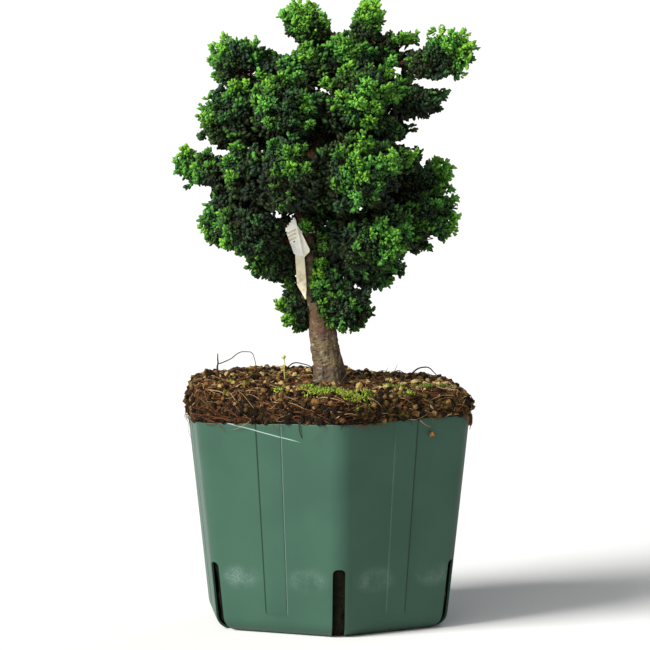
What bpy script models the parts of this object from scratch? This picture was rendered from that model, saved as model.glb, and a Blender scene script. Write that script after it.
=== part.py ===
"""A young hinoki cypress in a six-sided nursery slit pot, standing on its own base.

The pot stands at the origin with +Z up, and the side that the plant shows best faces -Y.
A mass of foliage is given by its centre and its size. From those the script works out where its limb
leaves the trunk, the space that it keeps to, its bough, its stem, its twigs and its sprays.
"""

import math
import random

import bmesh
import bpy
import numpy as np
from mathutils import Vector, noise

for leftover in list(bpy.data.objects):
    bpy.data.objects.remove(leftover)

MM = 0.001
CONTACT = 0.3 * MM
UP = np.array((0.0, 0.0, 1.0))
SLIGHTLY_BACK = np.array((0.0, 1e-4, 0.0))
TUBE_SIDEWAYS = (0.3, 1.0, 0.2)
MERGE_WITHIN = 0.002 * MM

# Pot: a thin moulded hexagon, wider at the rim, with a raised band on each side and a slit in each corner
POT_HEIGHT = 134 * MM
POT_RIM_HALF_FLATS = 87 * MM
POT_BASE_HALF_FLATS = 73 * MM
POT_WALL = 1.4 * MM
POT_CORNER_RADIUS = 14 * MM
POT_FOOT_RADIUS = 9 * MM
POT_FRONT_CORNER_DEG = -85
RIM_SLANT = 2.6 * MM
RIM_HIGH_SIDE_DEG = -45
BAND_HALF_SHARE = 0.08
BAND_STEP_SHARE = 0.006
BAND_RISE = 0.7 * MM
SLIT_WIDTH = 8 * MM
SLIT_HEIGHT = 44 * MM
SLIT_TOP_RADIUS = 3 * MM
SLIT_ARC_STEPS = 3
SLIT_INNER_REACH = 54 * MM
SLIT_OUTER_REACH = 110 * MM
SIDES = 6
POT_ARC_STEPS = 3
BAND_START = 16 * MM

# Root ball: fills the pot and stands above its rim
GROUND = 153 * MM
GROUND_FALL = 0.026
SOIL_OVERHANG = 0.2 * MM
SOIL_BUMP = 2.2 * MM
SOIL_BUMP_SPACING = 13 * MM
SOIL_ARC_STEPS = 2
SOIL_SIDE_POINTS = ((-0.2, 0), (0.2, 0))
# Above the rim: how far in from the rim, what share of the way up to the ground, and how far proud of it
SOIL_PROFILE = (
    (-SOIL_OVERHANG, 0.45, 0),
    (3 * MM, 0.85, 0),
    (11 * MM, 1, 0.5 * MM),
    (26 * MM, 1, 0.5 * MM),
    (46 * MM, 1, 0),
)
TRUNK_SEAT = 12.5 * MM

# Trunk: centre line (x, y, z) and radius at each station, in millimetres
TRUNK_STATIONS = (
    (1.6, 0, 153, 10.8),
    (1.2, 0, 158, 9.4),
    (-1.2, 1, 175, 8.7),
    (-4.5, 1, 202, 8.0),
    (-9.5, 0, 235, 6.8),
    (-11.8, -1, 268, 5.7),
    (-8, 0, 300, 4.5),
    (4, 2, 332, 3.3),
    (19, 2, 363, 2.0),
)
TRUNK_SIDES = 10
TRUNK_RINGS = 17
ROOT_LOBES = 5
ROOT_LOBE_DEPTH = 0.09
ROOT_LOBE_HEIGHT = 14 * MM

# Boughs and stems
BOUGH_SIDES = 6
BOUGH_ROOT_RADIUS = 2.4 * MM
BOUGH_TO_TRUNK = 0.5
BOUGH_TIP_RADIUS = 1.2 * MM
BOUGH_RINGS = 5
BOUGH_LEAST_REACH = 19 * MM
BOUGH_ROOM = 0.5 * MM
BOUGH_ENTRY = 0.85
BOUGH_BEND_BACK = 0.45
BOUGH_SAG = 0.04
LIMB_CLIMB = 0.42
LIMB_LEVEL = 0.5
LIMB_LOWEST = 192 * MM
LIMB_SHIFT = 1 * MM
LIMB_SHIFTS = 45
LIMB_SWINGS = (0, 6 * MM, -6 * MM, 12 * MM, -12 * MM, 18 * MM, -18 * MM)
STEM_SIDES = 5
STEM_TIP_RADIUS = 0.6 * MM
STEM_TAPER = 0.8
STEM_INNER_REACH = 0.3

# Masses: spaces get a wall between them unless they stay clearly apart
SPACES_APART = 0.94
CORE_SHARE = 0.68
CORE_LUMPS = 0.14
MASS_TRIES = 6
LIMB_ROOM = 0.7 * MM
SWUNG_ROOM = 0.25 * MM
CUTTER_SIDES = 8

# Sprays: one blade stands for a tuft of fine foliage
TUFT_SPACING = 21 * MM
TUFTS_BACK_TO = -0.4
SPRAY_LENGTH = 19 * MM
SPRAY_WIDTH = 18 * MM
SPRAY_THICK = 9 * MM
SPRAY_WIDEST = 0.7
SPRAY_SUNK = 3 * MM
TWIG_SIDES = 3
TWIG_ROOT_RADIUS = 1.1 * MM
TWIG_TIP_RADIUS = 0.7 * MM
TWIG_TESTS = 5
ELLIPSOID_POWER = 1.6
FIRST_TUFT = 0.7
TUFT_SHAKE = 0.25
TUFT_REACH = (0.93, 0.995)
TUFT_LEAN_ALONG = 0.45
TUFT_LEAN_UP = 0.35
TWIG_FOOT_SPREAD = 0.75
TWIG_FOOT_BACK = 0.2
SPRAY_ROLL = 0.6
SPRAY_PAST_SPACE = 1.03
GOLDEN_ANGLE = math.pi * (3 - math.sqrt(5))

# name: centre (x, y, z) and size (along its limb, across it, thick), in millimetres
MASSES = {
    "top_right": ((25, 0, 383), (38, 28, 26)),
    "top_left": ((-16, 4, 384), (40, 32, 30)),
    "top_middle": ((14, -12, 364), (40, 40, 36)),
    "top_front": ((-10, -19, 354), (48, 48, 42)),
    "top_back": ((-4, 30, 358), (56, 54, 48)),
    "right_spike": ((42, 7, 368), (44, 30, 24)),
    "far_right": ((73, -4, 363), (57, 38, 38)),
    "left_top": ((-59, 4, 359), (46, 40, 42)),
    "left_top_inner": ((-34, 8, 344), (52, 54, 46)),
    "right_shoulder": ((54, 5, 337), (58, 48, 36)),
    "left_shoulder": ((-58, -6, 324), (56, 56, 60)),
    "front_upper_right": ((20, -42, 336), (60, 58, 54)),
    "front_upper_left": ((-25, -40, 330), (60, 58, 54)),
    "back_upper_right": ((34, 42, 326), (62, 60, 54)),
    "back_upper_left": ((-32, 44, 318), (62, 60, 54)),
    "front_right": ((33, -33, 300), (56, 52, 48)),
    "front_middle_right": ((19, -62, 290), (62, 60, 56)),
    "front_middle_left": ((-22, -60, 290), (62, 58, 54)),
    "back_middle": ((2, 62, 292), (66, 64, 58)),
    "left_low": ((-74, 1, 288), (62, 44, 34)),
    "right_low_top": ((57, 6, 286), (54, 50, 31)),
    "back_middle_right": ((46, 42, 280), (62, 60, 54)),
    "back_middle_left": ((-44, 46, 278), (62, 60, 54)),
    "front_left": ((-50, -40, 288), (56, 52, 48)),
    "right_low": ((61, -4, 261), (58, 56, 52)),
    "left_lower": ((-57, -2, 259), (56, 54, 50)),
    "low_inner": ((10, 13, 242), (40, 46, 50)),
    "front_low_right": ((29, -42, 251), (58, 56, 52)),
    "front_low_left": ((-49, -36, 256), (48, 46, 46)),
    "back_low_right": ((26, 38, 246), (60, 58, 54)),
    "back_low_left": ((-24, 38, 244), (60, 58, 54)),
    "left_skirt": ((-34, 2, 236), (46, 48, 42)),
    "right_lower": ((28, -3, 230), (48, 48, 44)),
    "bottom_right": ((13, -10, 206), (42, 44, 43)),
    "bottom_left": ((-18, 8, 204), (32, 38, 42)),
}

# Label: a plastic strap tag whose loop hangs round the trunk on its left
LABEL_TOP = 255.5 * MM
LABEL_STRAP_WIDTH = 6.4 * MM
LABEL_STRAP_THICK = 0.9 * MM
LABEL_TAIL_LENGTH = 26 * MM
LABEL_HEAD_LENGTH = 22 * MM
LABEL_HEAD_WIDTH = 8 * MM
LABEL_HEAD_THICK = 3.6 * MM
LABEL_CENTRE = (-21.5 * MM, -8.5 * MM)
LABEL_LEAN = 0.125
LABEL_ROOM = 5 * MM
LABEL_ROOM_IN_FRONT = 9 * MM
LABEL_TAIL_CUT = 8 * MM
LOOP_RADII = (11 * MM, 10.6 * MM)
LOOP_HALF_WIDTH = LABEL_STRAP_WIDTH * 0.4
LOOP_HANGS_LEFT = 2 * MM
LOOP_BELOW_TOP = LABEL_HEAD_LENGTH * 0.35
LOOP_SEGMENTS = 20


def material(name, colour, roughness, metallic=0.0):
    """A Principled material of one colour."""
    made = bpy.data.materials.new(name)
    made.use_nodes = True
    shader = made.node_tree.nodes["Principled BSDF"]
    shader.inputs["Base Color"].default_value = (*colour, 1.0)
    shader.inputs["Roughness"].default_value = roughness
    shader.inputs["Metallic"].default_value = metallic
    return made


POT_GREEN = material("pot_green", (0.085, 0.205, 0.135), 0.45)
SOIL_BROWN = material("soil_brown", (0.07, 0.036, 0.016), 0.95)
BARK = material("bark", (0.15, 0.105, 0.065), 0.9)
FOLIAGE = material("foliage", (0.035, 0.115, 0.018), 0.6)
LABEL_CREAM = material("label_cream", (0.72, 0.66, 0.45), 0.5)


def loft(rings):
    """A closed mesh through rings of equal length, with a flat cap on the first and last ring."""
    mesh = bmesh.new()
    rows = [[mesh.verts.new(point) for point in ring] for ring in rings]
    count = len(rows[0])
    for low, high in zip(rows, rows[1:]):
        for i in range(count):
            j = (i + 1) % count
            mesh.faces.new((low[i], low[j], high[j], high[i]))
    mesh.faces.new(rows[0][::-1])
    mesh.faces.new(rows[-1])
    bmesh.ops.recalc_face_normals(mesh, faces=mesh.faces)
    return mesh


def place(name, mesh, finish, crease_deg=40):
    """Turns a bmesh into a named object with its material, smooth up to crease_deg."""
    data = bpy.data.meshes.new(name)
    mesh.to_mesh(data)
    mesh.free()
    data.shade_smooth()
    data.set_sharp_from_angle(angle=math.radians(crease_deg))
    data.materials.append(finish)
    made = bpy.data.objects.new(name, data)
    bpy.context.scene.collection.objects.link(made)
    return made


def boolean(target, others, operation):
    """Joins others to target, or cuts them from it, applies that, and removes the others."""
    group = bpy.data.collections.new("operands")
    bpy.context.scene.collection.children.link(group)
    for other in others:
        for home in list(other.users_collection):
            home.objects.unlink(other)
        group.objects.link(other)
    step = target.modifiers.new("join", "BOOLEAN")
    step.operation = operation
    step.solver = "EXACT"
    step.operand_type = "COLLECTION"
    step.collection = group
    graph = bpy.context.evaluated_depsgraph_get()
    result = bpy.data.meshes.new_from_object(target.evaluated_get(graph))
    target.modifiers.clear()
    target.data = result
    for other in others:
        bpy.data.objects.remove(other)
    bpy.data.collections.remove(group)


def keep_largest_body(made):
    """Drops loose scraps and the inner skins of sealed hollows, and says whether the mesh is closed."""
    mesh = bmesh.new()
    mesh.from_mesh(made.data)
    bmesh.ops.remove_doubles(mesh, verts=mesh.verts, dist=MERGE_WITHIN)
    bmesh.ops.dissolve_degenerate(mesh, dist=MERGE_WITHIN, edges=mesh.edges)
    unseen = set(mesh.verts)
    bodies = []
    while unseen:
        stack = [unseen.pop()]
        body = []
        while stack:
            vertex = stack.pop()
            body.append(vertex)
            for edge in vertex.link_edges:
                other = edge.other_vert(vertex)
                if other in unseen:
                    unseen.remove(other)
                    stack.append(other)
        bodies.append(body)
    bodies.sort(key=len, reverse=True)
    for body in bodies[1:]:
        bmesh.ops.delete(mesh, geom=body, context="VERTS")
    bmesh.ops.triangulate(mesh, faces=mesh.faces)
    closed = all(edge.is_manifold for edge in mesh.edges)
    mesh.to_mesh(made.data)
    mesh.free()
    return closed


def smooth_path(points, count):
    """Points evenly spread along a Catmull-Rom curve through the given points (any number of columns)."""
    points = np.array(points, float)
    padded = np.vstack((2 * points[0] - points[1], points, 2 * points[-1] - points[-2]))
    at = np.linspace(0, len(points) - 1, count)
    piece = np.minimum(at.astype(int), len(points) - 2)
    t = (at - piece)[:, None]
    a, b, c, d = (padded[piece + shift] for shift in range(4))
    return 0.5 * (
        2 * b + (c - a) * t + (2 * a - 5 * b + 4 * c - d) * t**2 + (3 * b - a - 3 * c + d) * t**3
    )


def unit(vector):
    """The vector at length 1."""
    return vector / np.linalg.norm(vector)


def tube_rings(path, radii, sides, bulge=None):
    """Rings of a tube along a path, each square to it. bulge(ring, angle) scales a radius."""
    path = np.array(path, float)
    along = np.gradient(path, axis=0)
    across = unit(np.cross(along[0], TUBE_SIDEWAYS))
    rings = []
    for index, (centre, heading, radius) in enumerate(zip(path, along, radii)):
        heading = unit(heading)
        across = unit(across - heading * (across @ heading))
        other = np.cross(heading, across)
        ring = []
        for side in range(sides):
            angle = math.tau * side / sides
            reach = radius * (bulge(index, angle) if bulge else 1)
            ring.append(centre + reach * (math.cos(angle) * across + math.sin(angle) * other))
        rings.append(ring)
    return rings


class Limb:
    """A tapering limb: its centre line and its radius along it."""

    def __init__(self, path, radii):
        self.path = np.array(path, float)
        self.radii = np.array(radii, float)

    def room(self, points):
        """How far each point lies outside the limb's bark, in metres."""
        start, span = self.path[:-1], np.diff(self.path, axis=0)
        offset = points[:, None, :] - start[None]
        share = np.clip((offset * span).sum(2) / (span**2).sum(1), 0, 1)
        nearest = start + share[..., None] * span
        bark = self.radii[:-1] + share * np.diff(self.radii)
        return (np.linalg.norm(points[:, None, :] - nearest, axis=2) - bark).min(1)

    def longer(self, stem):
        """The limb and the stem past its tip as one, to keep others clear of both."""
        return Limb(np.vstack((self.path, stem.path)), np.concatenate((self.radii, stem.radii)))

    def dense(self, count=120):
        """Points close together along the limb, and its radius at each."""
        at = np.linspace(0, len(self.path) - 1, count)
        stations = np.arange(len(self.path))
        points = np.column_stack([np.interp(at, stations, column) for column in self.path.T])
        return points, np.interp(at, stations, self.radii)

    def room_to(self, other):
        """The least distance from this limb's bark, outside the trunk, to another limb's."""
        points, radii = self.dense()
        outside = TRUNK.room(points) > -radii
        return (other.room(points[outside]) - radii[outside]).min()

    def fattened(self, extra, sides):
        """A scratch solid of the limb, thicker and a little longer, to cut others clear of it."""
        path = self.path.copy()
        path[-1] += unit(path[-1] - path[-2]) * extra
        return place("cutter", loft(tube_rings(path, self.radii + extra, sides)), BARK)


# Pot


def pot_half_flats(height):
    """Distance from the axis to a side of the pot at a height, which grows evenly to the rim."""
    return POT_BASE_HALF_FLATS + (POT_RIM_HALF_FLATS - POT_BASE_HALF_FLATS) * height / POT_HEIGHT


def corner_direction(k):
    """The unit vector from the axis to corner k of the hexagon."""
    angle = math.radians(POT_FRONT_CORNER_DEG) + k * math.tau / SIDES
    return np.array((math.cos(angle), math.sin(angle), 0.0))


def hexagon(height, inset, arc_steps, side_points=()):
    """The pot's outline at a height, moved inwards by inset, with round corners.
    Each side point is a share of the side's length from its middle, and how far it stands proud."""
    half_flats = pot_half_flats(height) - inset
    side_length = 2 * half_flats * math.tan(math.pi / SIDES)
    radius = max(POT_CORNER_RADIUS - inset, MM)
    outline = []
    for k in range(SIDES):
        outward = corner_direction(k)
        centre = outward * (half_flats - radius) / math.cos(math.pi / SIDES)
        across = np.cross(UP, outward)
        for step in range(arc_steps + 1):
            angle = math.pi / SIDES * (2 * step / arc_steps - 1)
            outline.append(centre + radius * (math.cos(angle) * outward + math.sin(angle) * across))
        side_normal = unit(outward + corner_direction(k + 1))
        side_along = np.cross(UP, side_normal)
        for share, lift in side_points:
            outline.append(side_normal * (half_flats + lift) + side_along * side_length * share)
    return [Vector((*point[:2], height)) for point in outline]


def band(rise):
    """The side points of a raised band with sloping edges."""
    edge = BAND_HALF_SHARE + BAND_STEP_SHARE
    return ((-edge, 0), (-BAND_HALF_SHARE, rise), (BAND_HALF_SHARE, rise), (edge, 0))


def rim_height(point):
    """The height of the rim, which was cut down by hand and is a little higher on one side."""
    high_side = math.radians(RIM_HIGH_SIDE_DEG)
    across = point.x * math.cos(high_side) + point.y * math.sin(high_side)
    return POT_HEIGHT + RIM_SLANT * across / POT_RIM_HALF_FLATS


def rim(inset, arc_steps, side_points=()):
    """The outline at the slanting rim."""
    level = hexagon(POT_HEIGHT, inset, arc_steps, side_points)
    return [Vector((point.x, point.y, rim_height(point))) for point in level]


def foot_and_wall(offset, arc_steps):
    """Pairs of inset and height round the pot's foot, for a skin offset inwards from the outside."""
    radius = POT_FOOT_RADIUS - offset
    for step in range(arc_steps + 1):
        angle = math.pi / 2 * step / arc_steps
        yield POT_FOOT_RADIUS - radius * math.sin(angle), POT_FOOT_RADIUS - radius * math.cos(angle)


def slit_cutter(k):
    """A bar with a round-cornered top, which cuts the slit of corner k through wall, foot and floor."""
    outward = corner_direction(k)
    across = np.cross(UP, outward)
    half = SLIT_WIDTH / 2
    outline = [(-half, -POT_FOOT_RADIUS)]
    for side, start in ((-1, math.pi), (1, math.pi / 2)):
        for step in range(SLIT_ARC_STEPS + 1):
            angle = start - math.pi / 2 * step / SLIT_ARC_STEPS
            x = side * (half - SLIT_TOP_RADIUS) + SLIT_TOP_RADIUS * math.cos(angle)
            outline.append((x, SLIT_HEIGHT - SLIT_TOP_RADIUS + SLIT_TOP_RADIUS * math.sin(angle)))
    outline.append((half, -POT_FOOT_RADIUS))
    rings = [
        [outward * reach + across * x + UP * z for x, z in outline]
        for reach in (SLIT_INNER_REACH, SLIT_OUTER_REACH)
    ]
    return place("slit_cutter", loft(rings), POT_GREEN)


def build_pot():
    """The moulded shell: outside from the floor up, over the rim, and down inside."""
    steps = POT_ARC_STEPS
    outside = [hexagon(z, inset, steps, band(0)) for inset, z in foot_and_wall(0, steps)]
    outside.append(hexagon(BAND_START, 0, steps, band(BAND_RISE)))
    outside.append(rim(0, steps, band(BAND_RISE)))
    inside = [hexagon(z, inset, steps, band(0)) for inset, z in foot_and_wall(POT_WALL, steps)]
    inside.append(rim(POT_WALL, steps, band(0)))
    pot = place("pot", loft(outside + inside[::-1]), POT_GREEN)
    boolean(pot, [slit_cutter(k) for k in range(SIDES)], "DIFFERENCE")
    return pot


# Root ball


def bump(point):
    """A height between -1 and 1 that wanders smoothly from place to place."""
    return noise.noise(point / SOIL_BUMP_SPACING)


def soil_ring(inset, share, rise, roughness):
    """A rough ring of the root ball above the rim, at a share of the way from the rim to the ground."""
    ring = []
    for edge in rim(inset, SOIL_ARC_STEPS, SOIL_SIDE_POINTS):
        ground = GROUND - GROUND_FALL * edge.x
        point = Vector((edge.x, edge.y, edge.z + CONTACT + (ground + rise - edge.z - CONTACT) * share))
        swell = bump(point) * SOIL_BUMP * roughness
        outward = Vector((edge.x, edge.y, 0)).normalized()
        upward = Vector((0, 0, swell if share == 1 else 0))
        ring.append(point + outward * swell + upward)
    return ring


def build_soil():
    """The root ball: inside the pot to its rim, then proud of it with a rough side and a rough top."""
    skin = POT_WALL + CONTACT
    steps = SOIL_ARC_STEPS
    rings = [hexagon(z, inset, steps, SOIL_SIDE_POINTS) for inset, z in foot_and_wall(skin, steps)]
    rings.append(hexagon(SLIT_HEIGHT, skin, steps, SOIL_SIDE_POINTS))
    rings.append(soil_ring(skin, 0, 0, 0))
    rings.append(soil_ring(-SOIL_OVERHANG, 0, 0, 0))
    for inset, share, rise in SOIL_PROFILE:
        rings.append(soil_ring(inset, share, rise, 1))
    seat = Vector((TRUNK_STATIONS[0][0] * MM, 0, GROUND - CONTACT))
    last = rings[-1]
    for reach in (TRUNK_SEAT + 2 * MM, TRUNK_SEAT):
        rings.append([seat + Vector((p.x, p.y, 0)).normalized() * reach for p in last])
    return place("soil", loft(rings), SOIL_BROWN)


# Trunk and boughs

STATIONS = smooth_path(TRUNK_STATIONS, TRUNK_RINGS) * MM
TRUNK = Limb(STATIONS[:, :3], STATIONS[:, 3])


def trunk_point(height):
    """The point of the trunk's centre line at a height."""
    return np.array([np.interp(height, TRUNK.path[:, 2], TRUNK.path[:, axis]) for axis in range(3)])


def trunk_radius(height):
    """The trunk's radius at a height."""
    return np.interp(height, TRUNK.path[:, 2], TRUNK.radii)


def build_trunk():
    """One tapering trunk from its flat cut on the soil, with root lobes that fade upwards."""

    def root_bulge(index, angle):
        fade = max(0.0, 1 - (TRUNK.path[index, 2] - GROUND) / ROOT_LOBE_HEIGHT)
        return 1 + ROOT_LOBE_DEPTH * fade * math.cos(ROOT_LOBES * angle)

    rings = tube_rings(TRUNK.path, TRUNK.radii, TRUNK_SIDES, root_bulge)
    rings[0] = [Vector((p[0], p[1], GROUND)) for p in rings[0]]
    return place("trunk", loft(rings), BARK)


class Mass:
    """One mass of foliage: an ellipsoid of space, flattened against its neighbours."""

    def __init__(self, name, centre, size):
        self.name = name
        self.centre = np.array(centre) * MM
        self.half = np.array(size) * MM / 2
        self.walls = []

    def root_at(self, height, sideways):
        """Turns the mass to face away from the point of the trunk where its limb starts."""
        self.limb_root = trunk_point(height)
        heading = self.centre - self.limb_root
        heading[2] *= 1 - LIMB_LEVEL * min(1.0, np.hypot(heading[0], heading[1]) / BOUGH_LEAST_REACH)
        along = unit(heading)
        across = unit(np.cross(UP, along) + SLIGHTLY_BACK)
        self.frame = np.array((along, across, np.cross(along, across)))
        self.entry = self.centre - along * self.half[0] * BOUGH_ENTRY
        self.bough = bough_of(self, sideways)
        self.swung = sideways != 0
        self.stem = stem_of(self)
        self.limb = self.bough.longer(self.stem) if self.bough else self.stem

    def find_root(self, limbs):
        """Roots the limb below the mass, at the nearest height where it stays clear of the limbs so far.
        Where there is none, the limb swings out sideways."""
        out = np.hypot(*(self.centre - trunk_point(self.centre[2]))[:2])
        level = self.centre[2] - LIMB_CLIMB * out
        heights = sorted(range(-LIMB_SHIFTS, LIMB_SHIFTS + 1), key=abs)
        for sideways in LIMB_SWINGS:
            for shift in heights:
                height = np.clip(level + shift * LIMB_SHIFT, LIMB_LOWEST, TRUNK.path[-1, 2])
                self.root_at(height, sideways)
                if all(self.limb.room_to(limb) > BOUGH_ROOM for limb in limbs):
                    return
        raise ValueError(self.name + " finds no room for its limb")

    def support(self, direction):
        """How far the ellipsoid reaches from its centre along a direction."""
        return 1 / np.linalg.norm(self.frame @ direction / self.half)

    def meet(self, other):
        """Puts a flat wall between two spaces that overlap, nearer to the smaller one."""
        line = other.centre - self.centre
        gap = np.linalg.norm(line)
        line = line / gap
        mine, theirs = self.support(line), other.support(line)
        if mine + theirs + CONTACT < gap * SPACES_APART:
            return
        at = gap * mine / (mine + theirs)
        self.walls.append((line, line @ self.centre + at - CONTACT))
        other.walls.append((-line, -(line @ self.centre) - at - CONTACT))

    def reached_by(self, limb):
        """Whether a limb passes through the dense inside of the mass."""
        path = limb.dense()[0]
        reach = max(BOUGH_ROOT_RADIUS, limb.radii.max())
        local = (path - self.centre) @ self.frame.T / (self.half * CORE_SHARE + reach)
        inside = np.linalg.norm(local, axis=1) < 1
        for normal, far in self.walls:
            inside &= path @ normal <= far + reach
        return inside.any()

    def holds(self, points, share=1.0):
        """Whether all the points lie in the mass's own space."""
        local = (points - self.centre) @ self.frame.T / self.half
        inside = (np.linalg.norm(local, axis=1) <= share).all()
        return inside and all((points @ normal <= far).all() for normal, far in self.walls)


def bough_of(mass, sideways):
    """The limb that carries a mass, or None where the mass's own stem reaches the trunk."""
    start, end = mass.limb_root, mass.entry
    reach = np.linalg.norm(end - start)
    if reach - TRUNK.radii[0] < BOUGH_LEAST_REACH:
        return None
    back = mass.frame[0] * BOUGH_BEND_BACK + UP * BOUGH_SAG
    bend = end - reach * back + mass.frame[1] * sideways
    path = smooth_path((start, bend, end), BOUGH_RINGS)
    thick = min(BOUGH_ROOT_RADIUS, BOUGH_TO_TRUNK * trunk_radius(start[2]))
    return Limb(path, np.linspace(thick, BOUGH_TIP_RADIUS, BOUGH_RINGS))


def build_bough(name, limb):
    """A bough, cut square to the trunk's bark at its root."""
    made = place(name, loft(tube_rings(limb.path, limb.radii, BOUGH_SIDES)), BARK)
    boolean(made, [TRUNK.fattened(CONTACT, TRUNK_SIDES * 2)], "DIFFERENCE")
    keep_largest_body(made)
    return made


# Foliage


def blade(root, tip, across):
    """A spray of scale leaves as a kite of eight faces, widest past its middle."""
    heading = tip - root
    middle = root + heading * SPRAY_WIDEST
    face = unit(np.cross(heading, across))
    return np.array(
        (
            root,
            tip,
            middle + across * SPRAY_WIDTH / 2,
            middle - across * SPRAY_WIDTH / 2,
            middle + face * SPRAY_THICK / 2,
            middle - face * SPRAY_THICK / 2,
        )
    )


BLADE_FACES = (
    (0, 2, 4), (0, 4, 3), (0, 3, 5), (0, 5, 2), (1, 4, 2), (1, 3, 4), (1, 5, 3), (1, 2, 5),
)


def solid(points, faces):
    """A scratch solid from points and faces."""
    mesh = bmesh.new()
    corners = [mesh.verts.new(point) for point in points]
    for face in faces:
        mesh.faces.new([corners[i] for i in face])
    bmesh.ops.recalc_face_normals(mesh, faces=mesh.faces)
    return place("piece", mesh, FOLIAGE)


def ellipsoid_area(half):
    """The area of an ellipsoid with these half sizes, by a power mean that is right within 2%."""
    a, b, c = half**ELLIPSOID_POWER
    return 4 * math.pi * ((a * b + a * c + b * c) / 3) ** (1 / ELLIPSOID_POWER)


def tufts(mass, rng):
    """Where the sprays of a mass stand: a golden spiral over its space from tip to root, a little uneven.
    Gives each twig's foot on the stem, its spray's root and tip, and the direction of the spray's width."""
    along = mass.frame[0]
    count = round(ellipsoid_area(mass.half) / TUFT_SPACING**2)
    turn = rng.uniform(0, math.tau)
    for k in range(count):
        height = 1 - (2 * k + FIRST_TUFT) / count
        if height < TUFTS_BACK_TO:
            return
        ring = math.sqrt(max(0.0, 1 - height**2))
        angle = turn + k * GOLDEN_ANGLE + rng.uniform(-TUFT_SHAKE, TUFT_SHAKE)
        ball = np.array((height, ring * math.cos(angle), ring * math.sin(angle)))
        tip = mass.centre + (ball * mass.half) @ mass.frame * rng.uniform(*TUFT_REACH)
        square = unit((ball / mass.half) @ mass.frame)
        outward = unit(square + TUFT_LEAN_ALONG * along + TUFT_LEAN_UP * UP)
        root = tip - outward * SPRAY_LENGTH
        foot = mass.centre + along * mass.half[0] * (TWIG_FOOT_SPREAD * height - TWIG_FOOT_BACK)
        roll = rng.uniform(-SPRAY_ROLL, SPRAY_ROLL)
        flat = unit(np.cross(outward, UP) + roll * UP + SLIGHTLY_BACK)
        width = unit(flat - outward * (flat @ outward))
        yield foot, root, tip, width


def build_core(mass, rng):
    """The dense, lumpy inside of a mass, cut flat at the walls of its space."""
    mesh = bmesh.new()
    bmesh.ops.create_icosphere(mesh, subdivisions=2, radius=1.0)
    for vertex in mesh.verts:
        local = np.array(vertex.co) * mass.half * CORE_SHARE * rng.uniform(1 - CORE_LUMPS, 1 + CORE_LUMPS)
        vertex.co = Vector(mass.centre + local @ mass.frame)
    for normal, far in mass.walls:
        bmesh.ops.bisect_plane(
            mesh,
            geom=mesh.verts[:] + mesh.edges[:] + mesh.faces[:],
            plane_co=Vector(normal * (far - CONTACT)),
            plane_no=Vector(normal),
            clear_outer=True,
        )
        open_edges = [edge for edge in mesh.edges if edge.is_boundary]
        if open_edges:
            bmesh.ops.holes_fill(mesh, edges=open_edges, sides=0)
    bmesh.ops.recalc_face_normals(mesh, faces=mesh.faces)
    return place(mass.name, mesh, FOLIAGE)


def stem_of(mass):
    """The mass's stem: from 0.3 mm past its bough's tip, or from the trunk, to well inside the mass."""
    end = mass.centre + mass.frame[0] * mass.half[0] * STEM_INNER_REACH
    if mass.bough is None:
        radius = min(BOUGH_TIP_RADIUS, BOUGH_TO_TRUNK * trunk_radius(mass.limb_root[2]))
        return Limb((mass.limb_root, mass.entry, end), (radius, radius, STEM_TIP_RADIUS))
    start = mass.bough.path[-1] + unit(mass.bough.path[-1] - mass.bough.path[-2]) * CONTACT
    radii = (BOUGH_TIP_RADIUS, BOUGH_TIP_RADIUS * STEM_TAPER, STEM_TIP_RADIUS)
    return Limb((start, mass.centre, end), radii)


def join_mass(mass, limbs, seed):
    """Core, stem, twigs and sprays of one mass, joined into one solid. Says whether it is closed."""
    rng = random.Random(seed)
    made = build_core(mass, rng)
    pieces = [place("stalk", loft(tube_rings(mass.stem.path, mass.stem.radii, STEM_SIDES)), FOLIAGE)]
    near = [TRUNK, *limbs] + ([mass.bough] if mass.bough else [])
    for foot, root, tip, width in tufts(mass, rng):
        spray = blade(root, tip, width)
        sunk = root + unit(tip - root) * SPRAY_SUNK
        twig = np.linspace(foot, sunk, TWIG_TESTS)
        tested = np.vstack((spray, twig, (spray[0] + spray[2]) / 2, (spray[0] + spray[3]) / 2))
        if not mass.holds(spray, SPRAY_PAST_SPACE) or not mass.holds(twig):
            continue
        if any(limb.room(tested).min() < LIMB_ROOM + TWIG_ROOT_RADIUS for limb in near):
            continue
        pieces.append(solid(spray, BLADE_FACES))
        rings = tube_rings((foot, sunk), (TWIG_ROOT_RADIUS, TWIG_TIP_RADIUS), TWIG_SIDES)
        pieces.append(place("twig", loft(rings), FOLIAGE))
    boolean(made, pieces, "UNION")
    cutters = [limb.fattened(LIMB_ROOM, CUTTER_SIDES) for limb in limbs if mass.reached_by(limb)]
    if mass.bough is None or mass.reached_by(TRUNK):
        cutters.append(TRUNK.fattened(CONTACT, TRUNK_SIDES * 2))
    if mass.bough and mass.swung:
        cutters.append(mass.bough.fattened(SWUNG_ROOM, BOUGH_SIDES))
    if cutters:
        boolean(made, cutters, "DIFFERENCE")
    return made, keep_largest_body(made)


def build_mass(mass, limbs):
    """Joins a mass, with another seed for its twigs where faces that nearly meet leave it open."""
    for attempt in range(MASS_TRIES):
        made, closed = join_mass(mass, limbs, f"{mass.name} {attempt}")
        if closed:
            return made
        bpy.data.objects.remove(made)
    raise ValueError(mass.name + " isn't closed")


# Label


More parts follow.
